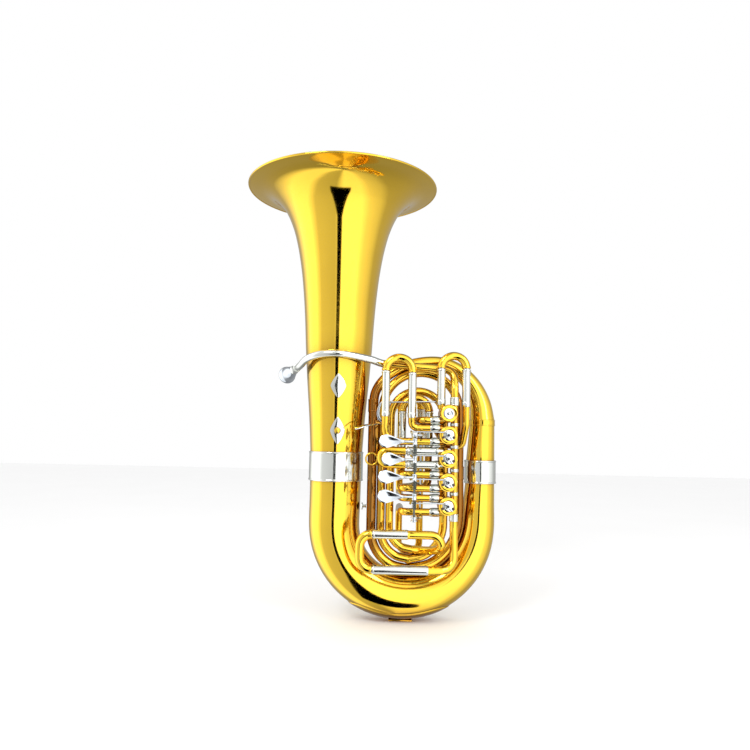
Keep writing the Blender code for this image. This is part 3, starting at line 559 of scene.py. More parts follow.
def bow_guard(path, radii):
    """Plate that wraps the outside of the bottom bow, with turned-over edges and a flat foot."""
    low, high = corners("bow_guard")
    half = high.x
    spots = [(point, radius) for point, radius in zip(path, radii) if abs(point.x) < half]
    hub = Vector((0.0, 0.0, path[0].z))
    shape = bmesh.new()
    skins = []
    across = 24
    for lift in (0.3 * MM, 1.5 * MM):
        rows = []
        for index, (point, radius) in enumerate(spots):
            place = 2 * index / (len(spots) - 1) - 1
            spread = GUARD_ANGLE * (1 - abs(place) ** 5) ** 0.4
            spread = max(spread, math.radians(4))
            bow_middle = Vector((0.0, 0.0, BOW_MIDDLE))
            outward = (point - bow_middle).normalized()
            row = []
            for step in range(across + 1):
                angle = spread * (2 * step / across - 1)
                edge = abs(2 * step / across - 1)
                rise = lift if edge < 0.999 else 0.3 * MM
                reach = radius + rise
                spot = point + outward * (reach * math.cos(angle))
                row.append(shape.verts.new(spot + Vector((0, reach * math.sin(angle), 0))))
            rows.append(row)
        skins.append(rows)
    for rows in skins:
        for first, second in zip(rows, rows[1:]):
            for step in range(across):
                shape.faces.new((first[step], first[step + 1], second[step + 1], second[step]))
    inner, outer = skins
    for edge in (0, across):
        for index in range(len(spots) - 1):
            shape.faces.new((inner[index][edge], inner[index + 1][edge],
                             outer[index + 1][edge], outer[index][edge]))
    for end in (0, -1):
        for step in range(across):
            shape.faces.new((inner[end][step], inner[end][step + 1],
                             outer[end][step + 1], outer[end][step]))
    piece_from("bow_guard_plate", shape, BRASS, stands_for=("bow_guard",))
    foot = bmesh.new()
    rounded_block(foot, at(-24, -15, 0), at(24, 15, 3.4), 1.0 * MM)
    piece_from("bow_guard_foot", foot, BRASS, stands_for=("bow_guard",))


def rounded_block(shape, low, high, radius, segments=3):
    """A block between two corners, with rounded edges."""
    made = bmesh.ops.create_cube(shape, size=1.0)["verts"]
    middle = (low + high) / 2
    size = high - low
    for vert in made:
        vert.co = middle + Vector(part * full for part, full in zip(vert.co, size))
    edges = {edge for vert in made for edge in vert.link_edges}
    bmesh.ops.bevel(shape, geom=list(edges), offset=radius, segments=segments, profile=0.5,
                    affect="EDGES")


bell()
joint_band("bell_ferrule")
joint_band("outer_ferrule")
bow_path, bow_radii = tube("bottom_bow", count=96)
BOW_MIDDLE = max(point.z for point in bow_path) - 90.5 * MM
bow_guard(bow_path, bow_radii)
tube("outer_branch", count=72)
# The top bow's brass has painted shade left of x = -30 mm.
top_path, top_radii = tube("top_bow", looks=(TOP_BRASS_SHADED,), count=64)


# ---- Coil, tuning slide and valve tubes ---------------------------------------------------
PORT_OFFSET = 13.5 * MM
PORT_RADIUS = 7.3 * MM
SLEEVE_RADIUS = 8.3 * MM
TUNING_RADIUS = 9.3 * MM
KNUCKLE_X = 99.5 * MM
VALVE_Y = -68 * MM


def collar(shape, centre, direction, inner, outer, length, count=40):
    """A narrow ring with rounded corners round a tube."""
    soft = min(0.35 * length, outer - inner)
    profile = [(inner, -length / 2)]
    for start, centre_height in ((-90, -length / 2 + soft), (0, length / 2 - soft)):
        for step in range(5):
            angle = math.radians(start + 90 * step / 4)
            profile.append((outer - soft * 0.6 + soft * 0.6 * math.cos(angle),
                            centre_height + soft * math.sin(angle)))
    profile.append((inner, length / 2))
    lathe(shape, profile, centre, direction, count)


def collar_piece(name, centre, direction, radius, length, material=NICKEL, lip=0.9 * MM,
                 body=BODY):
    shape = bmesh.new()
    collar(shape, Vector(centre), Vector(direction), radius - 0.3 * MM, radius + lip, length)
    piece_from(name, shape, material, body)


def bullet(name, start, end, radius, material=NICKEL, lip=1.1 * MM, body=BODY):
    """A joint ferrule that is full at its start and tapers smoothly down to the tube."""
    length = (Vector(end) - Vector(start)).length
    profile = [(radius - 0.3 * MM, 0.0), (radius + lip * 0.7, 0.0), (radius + lip, 0.5 * MM)]
    for step in range(13):
        share = step / 12
        profile.append((radius + lip * math.cos(share * math.pi / 2) ** 0.6,
                        length * (0.45 + 0.55 * share)))
    profile.append((radius - 0.3 * MM, length))
    shape = bmesh.new()
    lathe(shape, profile, Vector(start), Vector(end) - Vector(start), 40)
    piece_from(name, shape, material, body)


def joint_ferrule(name, centre, direction, radius, length=26 * MM, material=NICKEL):
    half = Vector(direction).normalized() * length / 2
    shape = bmesh.new()
    ferrule(shape, Vector(centre) - half, Vector(centre) + half, radius, 0.9 * MM, 0.35 * MM)
    piece_from(name, shape, material)


def slide(node, in_crook, crook_radius):
    """A slide: a brass crook as wide as the sleeves, and thinner legs that sit inside them."""
    path, radii = smooth_path(*rings_of(node))
    flags = [in_crook(point) for point in path]
    first = flags.index(True)
    last = len(flags) - 1 - flags[::-1].index(True)
    body = BODY_OF[node]
    shape = bmesh.new()
    sweep(shape, path[first:last + 1], [crook_radius] * (last - first + 1), 48, WALL)
    piece_from(f"{node}_crook", shape, BRASS, body, (node,))
    for side, leg in (("a", slice(0, first + 1)), ("b", slice(last, None))):
        shape = bmesh.new()
        sweep(shape, path[leg], radii[leg], 32, WALL)
        piece_from(f"{node}_leg_{side}", shape, NICKEL, body, (node,))
    for side, end, beyond in (("a", first, first + 1), ("b", last, last - 1)):
        inward = (path[beyond] - path[end]).normalized()
        shape = bmesh.new()
        collar(shape, path[end] + inward * 2.0 * MM, inward, radii[end] - 0.3 * MM,
               crook_radius + 0.7 * MM, 4.4 * MM)
        piece_from(f"{node}_collar_{side}", shape, BRASS, body)


def widened(point, radius):
    return radius > 8.1 * MM


# The coil tubes and their joint ferrules have painted shade outside the middle of the coil.
for node in ("coil_tube_1", "coil_tube_2", "coil_tube_3"):
    tube(node, looks=(COIL_BRASS_SHADED,), count=48)
tube("coil_tube_4", lambda point, radius: radius > 9.2 * MM, (BRASS, NICKEL), 48)
tube("tuning_feed", lambda point, radius: radius > 9.2 * MM, count=48)
for node in ("first_tube_lower", "first_tube_upper", "thumb_tube_lower", "thumb_tube_upper",
             "fourth_tube_lower", "fourth_tube_upper", "third_tube_upper"):
    tube(node, widened)
# Coil joints, each between the facing ends of two CAD tubes
for node, end in (("coil_tube_1", 0), ("coil_tube_1", -1), ("coil_tube_2", 0), ("coil_tube_3", 0)):
    centres, widths = rings_of(node)
    joint_ferrule(f"{node}_joint_{'a' if end == 0 else 'b'}", centres[end], (0, 0, 1),
                  max(widths[end], 8.2 * MM) + 0.1 * MM, material=COIL_BRASS_SHADED)
branch_end = rings_of("outer_branch")
joint_ferrule("branch_joint", branch_end[0][-1] + Vector((0, 0, 1.2 * MM)), (0, 0, 1),
              branch_end[1][-1], 12 * MM, BRASS)
tube("third_tube_lower", widened)

TOP_OF = {}
for node in ("first_tube_lower", "first_tube_upper", "thumb_tube_lower", "thumb_tube_upper",
             "third_tube_lower", "third_tube_upper", "fourth_tube_lower", "fourth_tube_upper"):
    centres, widths = rings_of(node)
    top = max((centres[0], centres[-1]), key=lambda point: point.z)
    TOP_OF[node] = top
    collar_piece(f"{node}_mouth", top - Vector((0, 0, 1.8 * MM)), (0, 0, 1), SLEEVE_RADIUS,
                 3.6 * MM)
    for centre, after, width, wider in zip(centres, centres[1:], widths, widths[1:]):
        if abs(wider - width) > 0.5 * MM:
            low, high = (after, centre) if width > wider else (centre, after)
            away = (low - high).normalized()
            bullet(f"{node}_throat", high - away * 3 * MM, high + away * 7 * MM, SLEEVE_RADIUS - 0.6 * MM)

for name, lower, upper in (("first_slide", "first_tube_lower", "first_tube_upper"),
                           ("thumb_slide", "thumb_tube_upper", "thumb_tube_lower"),
                           ("third_slide", "third_tube_upper", "third_tube_lower"),
                           ("fourth_slide", "fourth_tube_upper", "fourth_tube_lower")):
    tops = {round(TOP_OF[tube_name].x, 4): TOP_OF[tube_name].z for tube_name in (lower, upper)}
    middle = sum(tops) / 2

    def in_crook(point, tops=tops, middle=middle):
        nearest = min(tops, key=lambda x: abs(x - point.x))
        return point.z > tops[nearest] + 1.0 * MM

    slide(name, in_crook, SLEEVE_RADIUS)

TUNING_END = min(min(rings_of("coil_tube_4")[0], key=lambda point: point.x).x,
                 min(rings_of("tuning_feed")[0], key=lambda point: point.x).x)
slide("main_tuning_slide", lambda point: point.x < TUNING_END - 1.0 * MM, TUNING_RADIUS - 0.3 * MM)
for height in {round(ring.z, 4) for ring in rings_of("main_tuning_slide")[0]
               if ring.x > TUNING_END + 20 * MM}:
    collar_piece(f"tuning_mouth_{round(height / MM)}", (TUNING_END + 1.8 * MM, -90 * MM, height),
                 (1, 0, 0), TUNING_RADIUS, 3.6 * MM)

SECOND_LOW, SECOND_HIGH = corners("valve_casing_3")
SECOND_END = SECOND_LOW.x
slide("second_slide", lambda point: point.x < SECOND_END - 1.0 * MM, SLEEVE_RADIUS - 0.2 * MM)


# ---- Rotary valves ------------------------------------------------------------------------
def turned_piece(name, profile, base, direction, material, body=BODY, stands_for=(), count=48,
                 sharp=40):
    shape = bmesh.new()
    lathe(shape, profile, Vector(base), Vector(direction), count)
    return piece_from(name, shape, material, body, stands_for, sharp)


def rounded_disc(radius, thickness, soft=0.5 * MM, start=0.0):
    """Profile of a solid disc with rounded front edge, from the axis round to the axis."""
    profile = [(0.0, start), (radius, start)]
    for step in range(5):
        angle = math.radians(90 * step / 4)
        profile.append((radius - soft + soft * math.cos(angle),
                        start + thickness - soft + soft * math.sin(angle)))
    profile.append((0.0, start + thickness))
    return profile


def knurled(name, radius, length, base, direction, material, body=BODY, teeth=60):
    """A screw cap: coin edge, domed face and a turned groove."""
    shape = bmesh.new()
    profile = [(0.0, 0.0), (radius - 0.8 * MM, 0.0), (radius, 0.6 * MM),
               (radius, length - 1.2 * MM), (radius - 0.7 * MM, length - 0.4 * MM),
               (radius * 0.80, length), (radius * 0.76, length - 0.7 * MM),
               (radius * 0.70, length - 0.7 * MM), (radius * 0.66, length),
               (radius * 0.3, length + 0.5 * MM), (0.0, length + 0.6 * MM)]
    lathe(shape, profile, Vector(base), Vector(direction), teeth * 2)
    axis = Vector(direction).normalized()
    for index, vert in enumerate(shape.verts):
        offset = vert.co - Vector(base)
        height = offset.dot(axis)
        flat = offset - axis * height
        if flat.length > radius - 0.1 * MM and index % 2:
            vert.co -= flat.normalized() * 0.45 * MM
    return piece_from(name, shape, material, body, sharp=25)


def bent_plate(name, outline, low_y, high_y, material, body, soft=0.3 * MM):
    """A flat plate in the XZ plane with broken edges; outline is a list of (x, z)."""
    shape = bmesh.new()
    front = [shape.verts.new((x, low_y, z)) for x, z in outline]
    face = shape.faces.new(front)
    made = bmesh.ops.extrude_face_region(shape, geom=[face])["geom"]
    for vert in made:
        if isinstance(vert, bmesh.types.BMVert):
            vert.co.y = high_y
    bmesh.ops.recalc_face_normals(shape, faces=shape.faces)
    edges = [edge for edge in shape.edges if edge.calc_face_angle(0) > math.radians(60)]
    bmesh.ops.bevel(shape, geom=edges, offset=soft, segments=2, profile=0.5, affect="EDGES")
    return piece_from(name, shape, material, body)


def valve(number):
    casing = f"valve_casing_{number}"
    rotor = f"rotor_{number}"
    low, high = corners(casing)
    rotor_low, rotor_high = corners(rotor)
    joint = JOINTS[rotor]
    centre = Vector(joint["pos_m"])
    cx, cz = centre.x, centre.z
    front, back = low.y, high.y
    depth = back - front
    radius = max(math.hypot(vert.co.x - cx, vert.co.z - cz)
                 for vert in frame["nodes"][casing].data.vertices
                 if abs(vert.co.y - front) < 0.1 * MM)
    bore = radius - 2.0 * MM
    toward = Vector((0, -1, 0))
    seat = Vector((cx, back, cz))
    lip = 0.5 * MM
    profile = [(bore, 1.6 * MM), (radius - lip, 0.0), (radius, 0.4 * MM), (radius, 3.0 * MM),
               (radius - lip, 3.5 * MM), (radius - 0.7 * MM, 4.2 * MM),
               (radius - 0.7 * MM, depth - 6.4 * MM), (radius - lip, depth - 5.8 * MM),
               (radius, depth - 5.2 * MM), (radius, depth - 0.8 * MM), (radius - lip, depth),
               (bore, depth)]
    turned_piece(f"{casing}_barrel", profile, seat, toward, BRASS, stands_for=(casing,), count=72)
    works_at_back = rotor_high.y > back + 1 * MM
    works = toward * (-1 if works_at_back else 1)
    works_seat = Vector((cx, back if works_at_back else front, cz))
    plain_seat = Vector((cx, front if works_at_back else back, cz))
    hole = 4.2 * MM
    disc = 10.8 * MM
    rim = [(disc, -1.2 * MM), (bore + 0.2 * MM, -1.2 * MM), (bore + 0.2 * MM, 0.2 * MM),
           (bore - 0.8 * MM, 0.9 * MM), (disc + 1.2 * MM, 0.9 * MM), (disc, 0.2 * MM)]
    turned_piece(f"{casing}_ring", rim, works_seat, works, BRASS, count=72)
    plate = [(hole, -1.2 * MM), (disc, -1.2 * MM), (disc, 0.1 * MM), (disc - 0.5 * MM, 0.5 * MM),
             (hole + 1.6 * MM, 0.5 * MM), (hole, 0.5 * MM)]
    turned_piece(f"{casing}_bearing", plate, works_seat, works, NICKEL)
    if not works_at_back:
        knurled(f"{casing}_back_cap", radius - 0.8 * MM, 4.6 * MM, plain_seat, -works, BRASS)

    # Rotor: core inside the casing, spindle, stop arm and link pin
    core = (depth - 4 * MM) / 2
    middle = Vector((cx, (front + back) / 2, cz))
    core_profile = [(0.0, -core), (14.6 * MM, -core), (15.0 * MM, -core + 0.5 * MM),
                    (15.0 * MM, core - 0.5 * MM), (14.6 * MM, core), (0.0, core)]
    turned_piece(f"{rotor}_core", core_profile, middle, (0, 1, 0), NICKEL, rotor, (rotor,))
    spindle_end = works_seat + works * 2.2 * MM
    shape = bmesh.new()
    bar(shape, middle, spindle_end, 3.4 * MM, 24)
    lathe(shape, rounded_disc(5.2 * MM, 1.1 * MM), works_seat + works * 0.9 * MM, works, 32)
    piece_from(f"{rotor}_hub", shape, SILVER, rotor)
    screw = [(0.0, 0.0), (2.6 * MM, 0.0), (2.6 * MM, 0.8 * MM), (2.0 * MM, 1.3 * MM),
             (0.0, 1.5 * MM)]
    turned_piece(f"{rotor}_screw", screw, works_seat + works * 2.2 * MM, works, FELT, rotor)
    throw = 7.778 * MM if works_at_back else 5.657 * MM
    side = 1 if works_at_back else -1
    pin = Vector((cx + side * throw, 0, cz + throw))
    arm_low = works_seat.y + works.y * 0.9 * MM
    arm_high = works_seat.y + works.y * 1.9 * MM
    reach = math.hypot(throw, throw)
    lean = Vector((side, 0, 1)).normalized()
    cross = Vector((-lean.z, 0, lean.x))
    outline = []
    for along, wide in ((0, 3.2), (reach / MM, 2.2)):
        turn_from = 90 if along == 0 else -90
        for step in range(9):
            angle = math.radians(turn_from + 180 * step / 8)
            spot = (lean * (along + wide * math.cos(angle)) + cross * wide * math.sin(angle)) * MM
            outline.append((cx + spot.x, cz + spot.z))
    bent_plate(f"{rotor}_stop_arm", outline, min(arm_low, arm_high), max(arm_low, arm_high),
               SILVER, rotor)
    tab = []
    for wide, along in ((1.9, 2.0), (1.5, 12.6)):
        for sign in (1, -1) if wide > 1.7 else (-1, 1):
            spot = (-lean * along + cross * wide * sign) * MM
            tab.append((cx + spot.x, cz + spot.z))
    bent_plate(f"{rotor}_stop_tab", tab, min(arm_low, arm_high), max(arm_low, arm_high), SILVER,
               rotor)
    shape = bmesh.new()
    pin_far = rotor_high.y if works_at_back else rotor_low.y
    bar(shape, (pin.x, arm_low, pin.z), (pin.x, pin_far, pin.z), 1.3 * MM, 20)
    ball(shape, Vector((pin.x, pin_far, pin.z)), 1.9 * MM, 10, 20)
    piece_from(f"{rotor}_pin", shape, SILVER, rotor)

    # Cork bumpers that stop the tab at the two ends of its quarter turn
    sense = -1 if works_at_back else 1
    for index, offset in enumerate((22, -112)):
        lean_angle = math.atan2(-lean.z, -lean.x)
        angle = lean_angle + sense * math.radians(offset) * (1 if side < 0 else 1)
        spot = Vector((cx + 11.4 * MM * math.cos(angle), works_seat.y,
                       cz + 11.4 * MM * math.sin(angle)))
        turned_piece(f"{casing}_bumper_{index + 1}", rounded_disc(2.5 * MM, 2.8 * MM), spot, works,
                     CORK, count=24)


for number in range(1, 6):
    valve(number)

# Cap over the front of the thumb valve: coin-edged brass ring round a polished disc
cap_low, cap_high = corners("valve_cap")
cap_centre = Vector(((cap_low.x + cap_high.x) / 2, cap_high.y, (cap_low.z + cap_high.z) / 2))
cap_radius = (cap_high.x - cap_low.x) / 2
cap_depth = cap_high.y - cap_low.y
shape = bmesh.new()
ring = [(10.5 * MM, 0.0), (cap_radius - 0.6 * MM, 0.0), (cap_radius, 0.6 * MM),
        (cap_radius, cap_depth - 1.6 * MM), (cap_radius - 0.8 * MM, cap_depth - 0.6 * MM),
        (cap_radius - 2.2 * MM, cap_depth), (11.6 * MM, cap_depth - 0.2 * MM),
        (10.5 * MM, cap_depth - 1.4 * MM)]
lathe(shape, ring, cap_centre, (0, -1, 0), 96)
for index, vert in enumerate(shape.verts):
    flat = Vector((vert.co.x - cap_centre.x, 0, vert.co.z - cap_centre.z))
    if flat.length > cap_radius - 0.1 * MM and index % 2:
        vert.co -= flat.normalized() * 0.4 * MM
piece_from("valve_cap_ring", shape, BRASS, stands_for=("valve_cap",), sharp=25)
disc = [(0.0, 0.0), (10.8 * MM, 0.0), (10.8 * MM, cap_depth - 1.6 * MM),
        (9.6 * MM, cap_depth - 1.2 * MM), (6.0 * MM, cap_depth - 2.0 * MM),
        (3.2 * MM, cap_depth - 1.8 * MM), (2.2 * MM, cap_depth - 0.6 * MM), (0.0, cap_depth - 0.3 * MM)]
turned_piece("valve_cap_disc", disc, cap_centre, (0, -1, 0), SILVER, stands_for=("valve_cap",))


def ports():
    """Left-hand ports, right-hand knuckles and their ferrules."""
    centres = [Vector(JOINTS[f"rotor_{number}"]["pos_m"]) for number in range(1, 6)]
    for number, centre in enumerate(centres, start=1):
        for name, side in (("upper", 1), ("lower", -1)):
            height = centre.z + side * PORT_OFFSET
            if number == 1 and side == 1:
                upright = centre.x - PORT_OFFSET
                start = Vector((upright, VALVE_Y, centre.z + 10 * MM))
                end = Vector((upright, VALVE_Y, TOP_OF["thumb_tube_upper"].z - 68 * MM))
                shape = bmesh.new()
                sweep(shape, [start, end], [PORT_RADIUS] * 2, 40, WALL)
                piece_from("port_1_upper", shape, BRASS)
                continue
            far = SECOND_END if number == 3 else centre.x - 24.4 * MM
            width = SLEEVE_RADIUS if number == 3 else PORT_RADIUS
            start = Vector((centre.x - 9 * MM, VALVE_Y, height))
            end = Vector((far, VALVE_Y, height))
            shape = bmesh.new()
            sweep(shape, [start, end], [width] * 2, 40, WALL)
            piece_from(f"port_{number}_{name}", shape, NICKEL if number == 3 else BRASS)
            if number == 3:
                collar_piece(f"port_3_{name}_mouth", (far + 1.8 * MM, VALVE_Y, height), (1, 0, 0),
                             width, 3.6 * MM)
                bullet(f"port_3_{name}_ferrule", (centre.x - 15 * MM, VALVE_Y, height),
                       (centre.x - 26 * MM, VALVE_Y, height), width)
            else:
                bullet(f"port_{number}_{name}_ferrule", (centre.x - 16 * MM, VALVE_Y, height),
                       (centre.x - 35 * MM, VALVE_Y, height), PORT_RADIUS, lip=1.5 * MM)
    top = centres[0].z + 25 * MM
    bottom = centres[-1].z - 23 * MM
    shape = bmesh.new()
    sweep(shape, [Vector((KNUCKLE_X, VALVE_Y, top)), Vector((KNUCKLE_X, VALVE_Y, bottom))],
          [PORT_RADIUS] * 2, 40, WALL)
    piece_from("knuckles", shape, BRASS)
    for upper, lower in zip(centres, centres[1:]):
        middle = Vector((KNUCKLE_X, VALVE_Y, (upper.z + lower.z) / 2))
        collar_piece(f"knuckle_ring_{round(middle.z / MM)}", middle, (0, 0, 1), PORT_RADIUS,
                     7 * MM, NICKEL, 1.2 * MM)
    inlet = Vector((KNUCKLE_X, VALVE_Y, top))
    joint_ferrule("inlet_ferrule", inlet, (0, 0, 1), 8.1 * MM, 16 * MM)
    outlet = Vector((KNUCKLE_X, VALVE_Y, bottom))
    joint_ferrule("outlet_ferrule", outlet, (0, 0, 1), 8.1 * MM, 14 * MM)


ports()


# ---- Leadpipe, receiver and mouthpiece ----------------------------------------------------
tube("leadpipe", lambda point, radius: point.x < -44 * MM)
pipe_centres, pipe_radii = rings_of("leadpipe")
receiver_at = pipe_centres[-1]
receiver_axis = -Vector(JOINTS["mouthpiece"]["axis"])
if receiver_axis.dot(pipe_centres[-1] - pipe_centres[-2]) < 0:
    receiver_axis = -receiver_axis
shape = bmesh.new()
receiver = [(6.7 * MM, 0.0), (7.9 * MM, 0.0), (8.4 * MM, 0.8 * MM), (7.7 * MM, 2.6 * MM),
            (7.5 * MM, 4.0 * MM), (7.9 * MM, 12 * MM), (8.4 * MM, 18 * MM), (9.3 * MM, 19.2 * MM),
            (9.5 * MM, 20.6 * MM), (9.2 * MM, 22 * MM), (8.2 * MM, 22.4 * MM), (6.7 * MM, 22 * MM)]
lathe(shape, receiver, receiver_at, receiver_axis, 48)
piece_from("receiver_sleeve", shape, NICKEL, stands_for=("mouthpiece_receiver",))
brace_x = -41 * MM
near = min(pipe_centres, key=lambda point: abs(point.x - brace_x))


def mouthpiece():
    """Turned mouthpiece: shank, waist, cup with a step, and a rounded rim round a real cup."""
    outside = [(5.6, 4.3), (6.0, 22), (6.3, 27), (7.0, 31), (8.6, 35), (11.2, 40), (13.4, 46),
               (14.7, 53), (15.4, 59), (16.3, 62.5), (17.9, 65.6), (18.6, 68.6), (18.5, 70.6),
               (17.6, 72.6), (16.6, 73.7), (15.6, 73.9)]
    inside = [(14.6, 73.1), (13.9, 71.2), (13.4, 66), (12.2, 57), (9.6, 48), (6.0, 41), (3.6, 37),
              (3.6, 30), (4.2, 20), (4.5, 4.3)]
    rounded = curve_through([(radius, 0, height) for radius, height in outside], 5)
    hollow = curve_through([(radius, 0, height) for radius, height in inside], 5)
    profile = [(point.x * MM, point.z * MM) for point in rounded + hollow]
    shape = bmesh.new()
    lathe(shape, profile, receiver_at, receiver_axis, 72)
    piece_from("mouthpiece_cup", shape, SILVER, "mouthpiece", ("mouthpiece",))


mouthpiece()


# ---- Paddles, hinge and link rods ---------------------------------------------------------
PADDLE_LEAN = 0.09      # how much a touch's upper edge leans back
def paddle_surface(shape, tip, neck, width, thickness, dish):
    """Dished teardrop touch between its round tip and its neck, both on the touch's middle."""
    length = (neck - tip).length
    along = (neck - tip).normalized()
    across = Vector((0, 0, 1))
    outward = along.cross(across).normalized()
    if outward.y > 0:
        outward = -outward
    rows = 26
    columns = 14
    head = width * 1.12
    skins = []
    for side in (1, -1):
        grid = []
        for row in range(rows + 1):
            share = (1 - math.cos(math.pi * row / rows)) / 2
            place = share * length
            if place < head:
                half = width * math.sqrt(max(1 - (1 - place / head) ** 2, 0.0))
            else:
                fade = (place - head) / (length - head)
                half = width + (2.3 * MM - width) * (3 * fade ** 2 - 2 * fade ** 3) ** 0.75
            half = max(half, 0.4 * MM)
            line = []
            for column in range(columns + 1):
                v = 2 * column / columns - 1
                hollow = dish * (1 - v * v) * math.sin(math.pi * min(share * 1.25, 1.0))
                rim = thickness / 2 * math.sqrt(max(1 - abs(v) ** 4, 0.0))
                rise = -hollow + side * rim - PADDLE_LEAN * half * v
                line.append(shape.verts.new(tip + along * place + across * (half * v)
                                            + outward * rise))
            grid.append(line)
        skins.append(grid)
    for grid in skins:
        for first, second in zip(grid, grid[1:]):
            for column in range(columns):
                shape.faces.new((first[column], first[column + 1], second[column + 1],
                                 second[column]))
    front, back = skins
    for column in range(columns):
        for row in (0, rows):
            shape.faces.new((front[row][column], front[row][column + 1],
                             back[row][column + 1], back[row][column]))
    bmesh.ops.remove_doubles(shape, verts=shape.verts, dist=0.01 * MM)


def paddle(number):
    name = f"paddle_{number}"
    hinge = Vector(JOINTS[name]["pos_m"])
    rotor_pin = Vector(JOINTS[f"rotor_{number + 1}"]["pos_m"])
    throw = 5.657 * MM
    link_z = rotor_pin.z + throw
    low, high = corners(name)
    tip = Vector((low.x, hinge.y - 2 * MM, hinge.z))
    neck = Vector((hinge.x - 15 * MM, hinge.y - 2 * MM, hinge.z))
    shape = bmesh.new()
    paddle_surface(shape, tip, neck, 12.6 * MM, 2.2 * MM, 1.5 * MM)
    piece_from(f"{name}_touch", shape, SILVER, name, (name,))
    shape = bmesh.new()
    path = curve_through([neck - Vector((6 * MM, 0, 0)), neck, hinge + at(-7, -1.6, 0),
                          hinge + at(-3, -1, 0)], 6)
    sweep(shape, path, [2.2 * MM] * len(path), 20)
    barrel = [(2.3 * MM, -6 * MM), (4.4 * MM, -6 * MM), (4.9 * MM, -5.4 * MM), (4.9 * MM, -4.2 * MM),
              (4.4 * MM, -3.6 * MM), (4.4 * MM, 3.6 * MM), (4.9 * MM, 4.2 * MM),
              (4.9 * MM, 5.4 * MM), (4.4 * MM, 6 * MM), (2.3 * MM, 6 * MM)]
    lathe(shape, barrel, hinge, (0, 0, 1), 40)
    link_y = -92.5 * MM
    end = Vector((hinge.x - throw, link_y, link_z))
    start_z = min(max(link_z, hinge.z - 3 * MM), hinge.z + 3 * MM)
    arm = [Vector((hinge.x - 1 * MM, hinge.y + 2 * MM, start_z)),
           Vector((hinge.x - 2 * MM, hinge.y + 9 * MM, start_z)),
           end - Vector((0, 4 * MM, 0)), end]
    path = curve_through(arm, 8)
    sweep(shape, path, [1.9 * MM] * len(path), 20)
    ball(shape, end, 2.3 * MM, 10, 20)
    bar(shape, end - at(0, 0, 3.2), end + at(0, 0, 3.2), 1.5 * MM, 20)
    piece_from(f"{name}_lever", shape, SILVER, name, (name,))


def link_rod(number):
    """Thin rod with a threaded end and an open socket at each pivot."""
    name = f"link_rod_{number}"
    low, high = corners(name)
    left = Vector((low.x, (low.y + high.y) / 2, (low.z + high.z) / 2))
    right = Vector((high.x, left.y, left.z))
    shape = bmesh.new()
    bar(shape, left, right, 1.1 * MM, 20)
    for end, sign in ((left, 1), (right, -1)):
        bar(shape, end, end + Vector((sign * 7 * MM, 0, 0)), 1.5 * MM, 24)
        bar(shape, end + Vector((sign * 7.6 * MM, 0, 0)), end + Vector((sign * 10.2 * MM, 0, 0)),
            1.6 * MM, 6)
    piece_from(f"{name}_bar", shape, SILVER, name, (name,), 30)


def spiral(name, centre, radius, wire_radius, bottom, top, turns, material, body=BODY):
    path = []
    steps = 20
    for index in range(round(turns * steps) + 1):
        angle = math.tau * index / steps
        share = index / (turns * steps)
        path.append(Vector((centre.x + radius * math.cos(angle), centre.y + radius * math.sin(angle),
                            bottom + (top - bottom) * share)))
    shape = bmesh.new()
    sweep(shape, path, [wire_radius] * len(path), 10)
    return piece_from(name, shape, material, body)


for number in range(1, 5):
    paddle(number)
    link_rod(number)
    spring = f"paddle_spring_{number}"
    spring_low, spring_high = corners(spring)
    middle = (spring_low + spring_high) / 2
    coil = spiral(f"{spring}_coil", middle, 4.0 * MM, 0.6 * MM, spring_low.z + 0.7 * MM,
                  spring_high.z - 0.7 * MM, 7, STEEL, BODY_OF[spring])
    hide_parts(spring)

rod_low, rod_high = corners("hinge_rod")
hinge_x = (rod_low.x + rod_high.x) / 2
hinge_y = (rod_low.y + rod_high.y) / 2
shape = bmesh.new()
bar(shape, (hinge_x, hinge_y, rod_low.z), (hinge_x, hinge_y, rod_high.z), 2.0 * MM, 28)
lathe(shape, rounded_disc(3.6 * MM, 2.4 * MM, 0.8 * MM), (hinge_x, hinge_y, rod_high.z - 0.4 * MM),
      (0, 0, 1), 32)
piece_from("hinge_rod_pin", shape, STEEL, stands_for=("hinge_rod",))


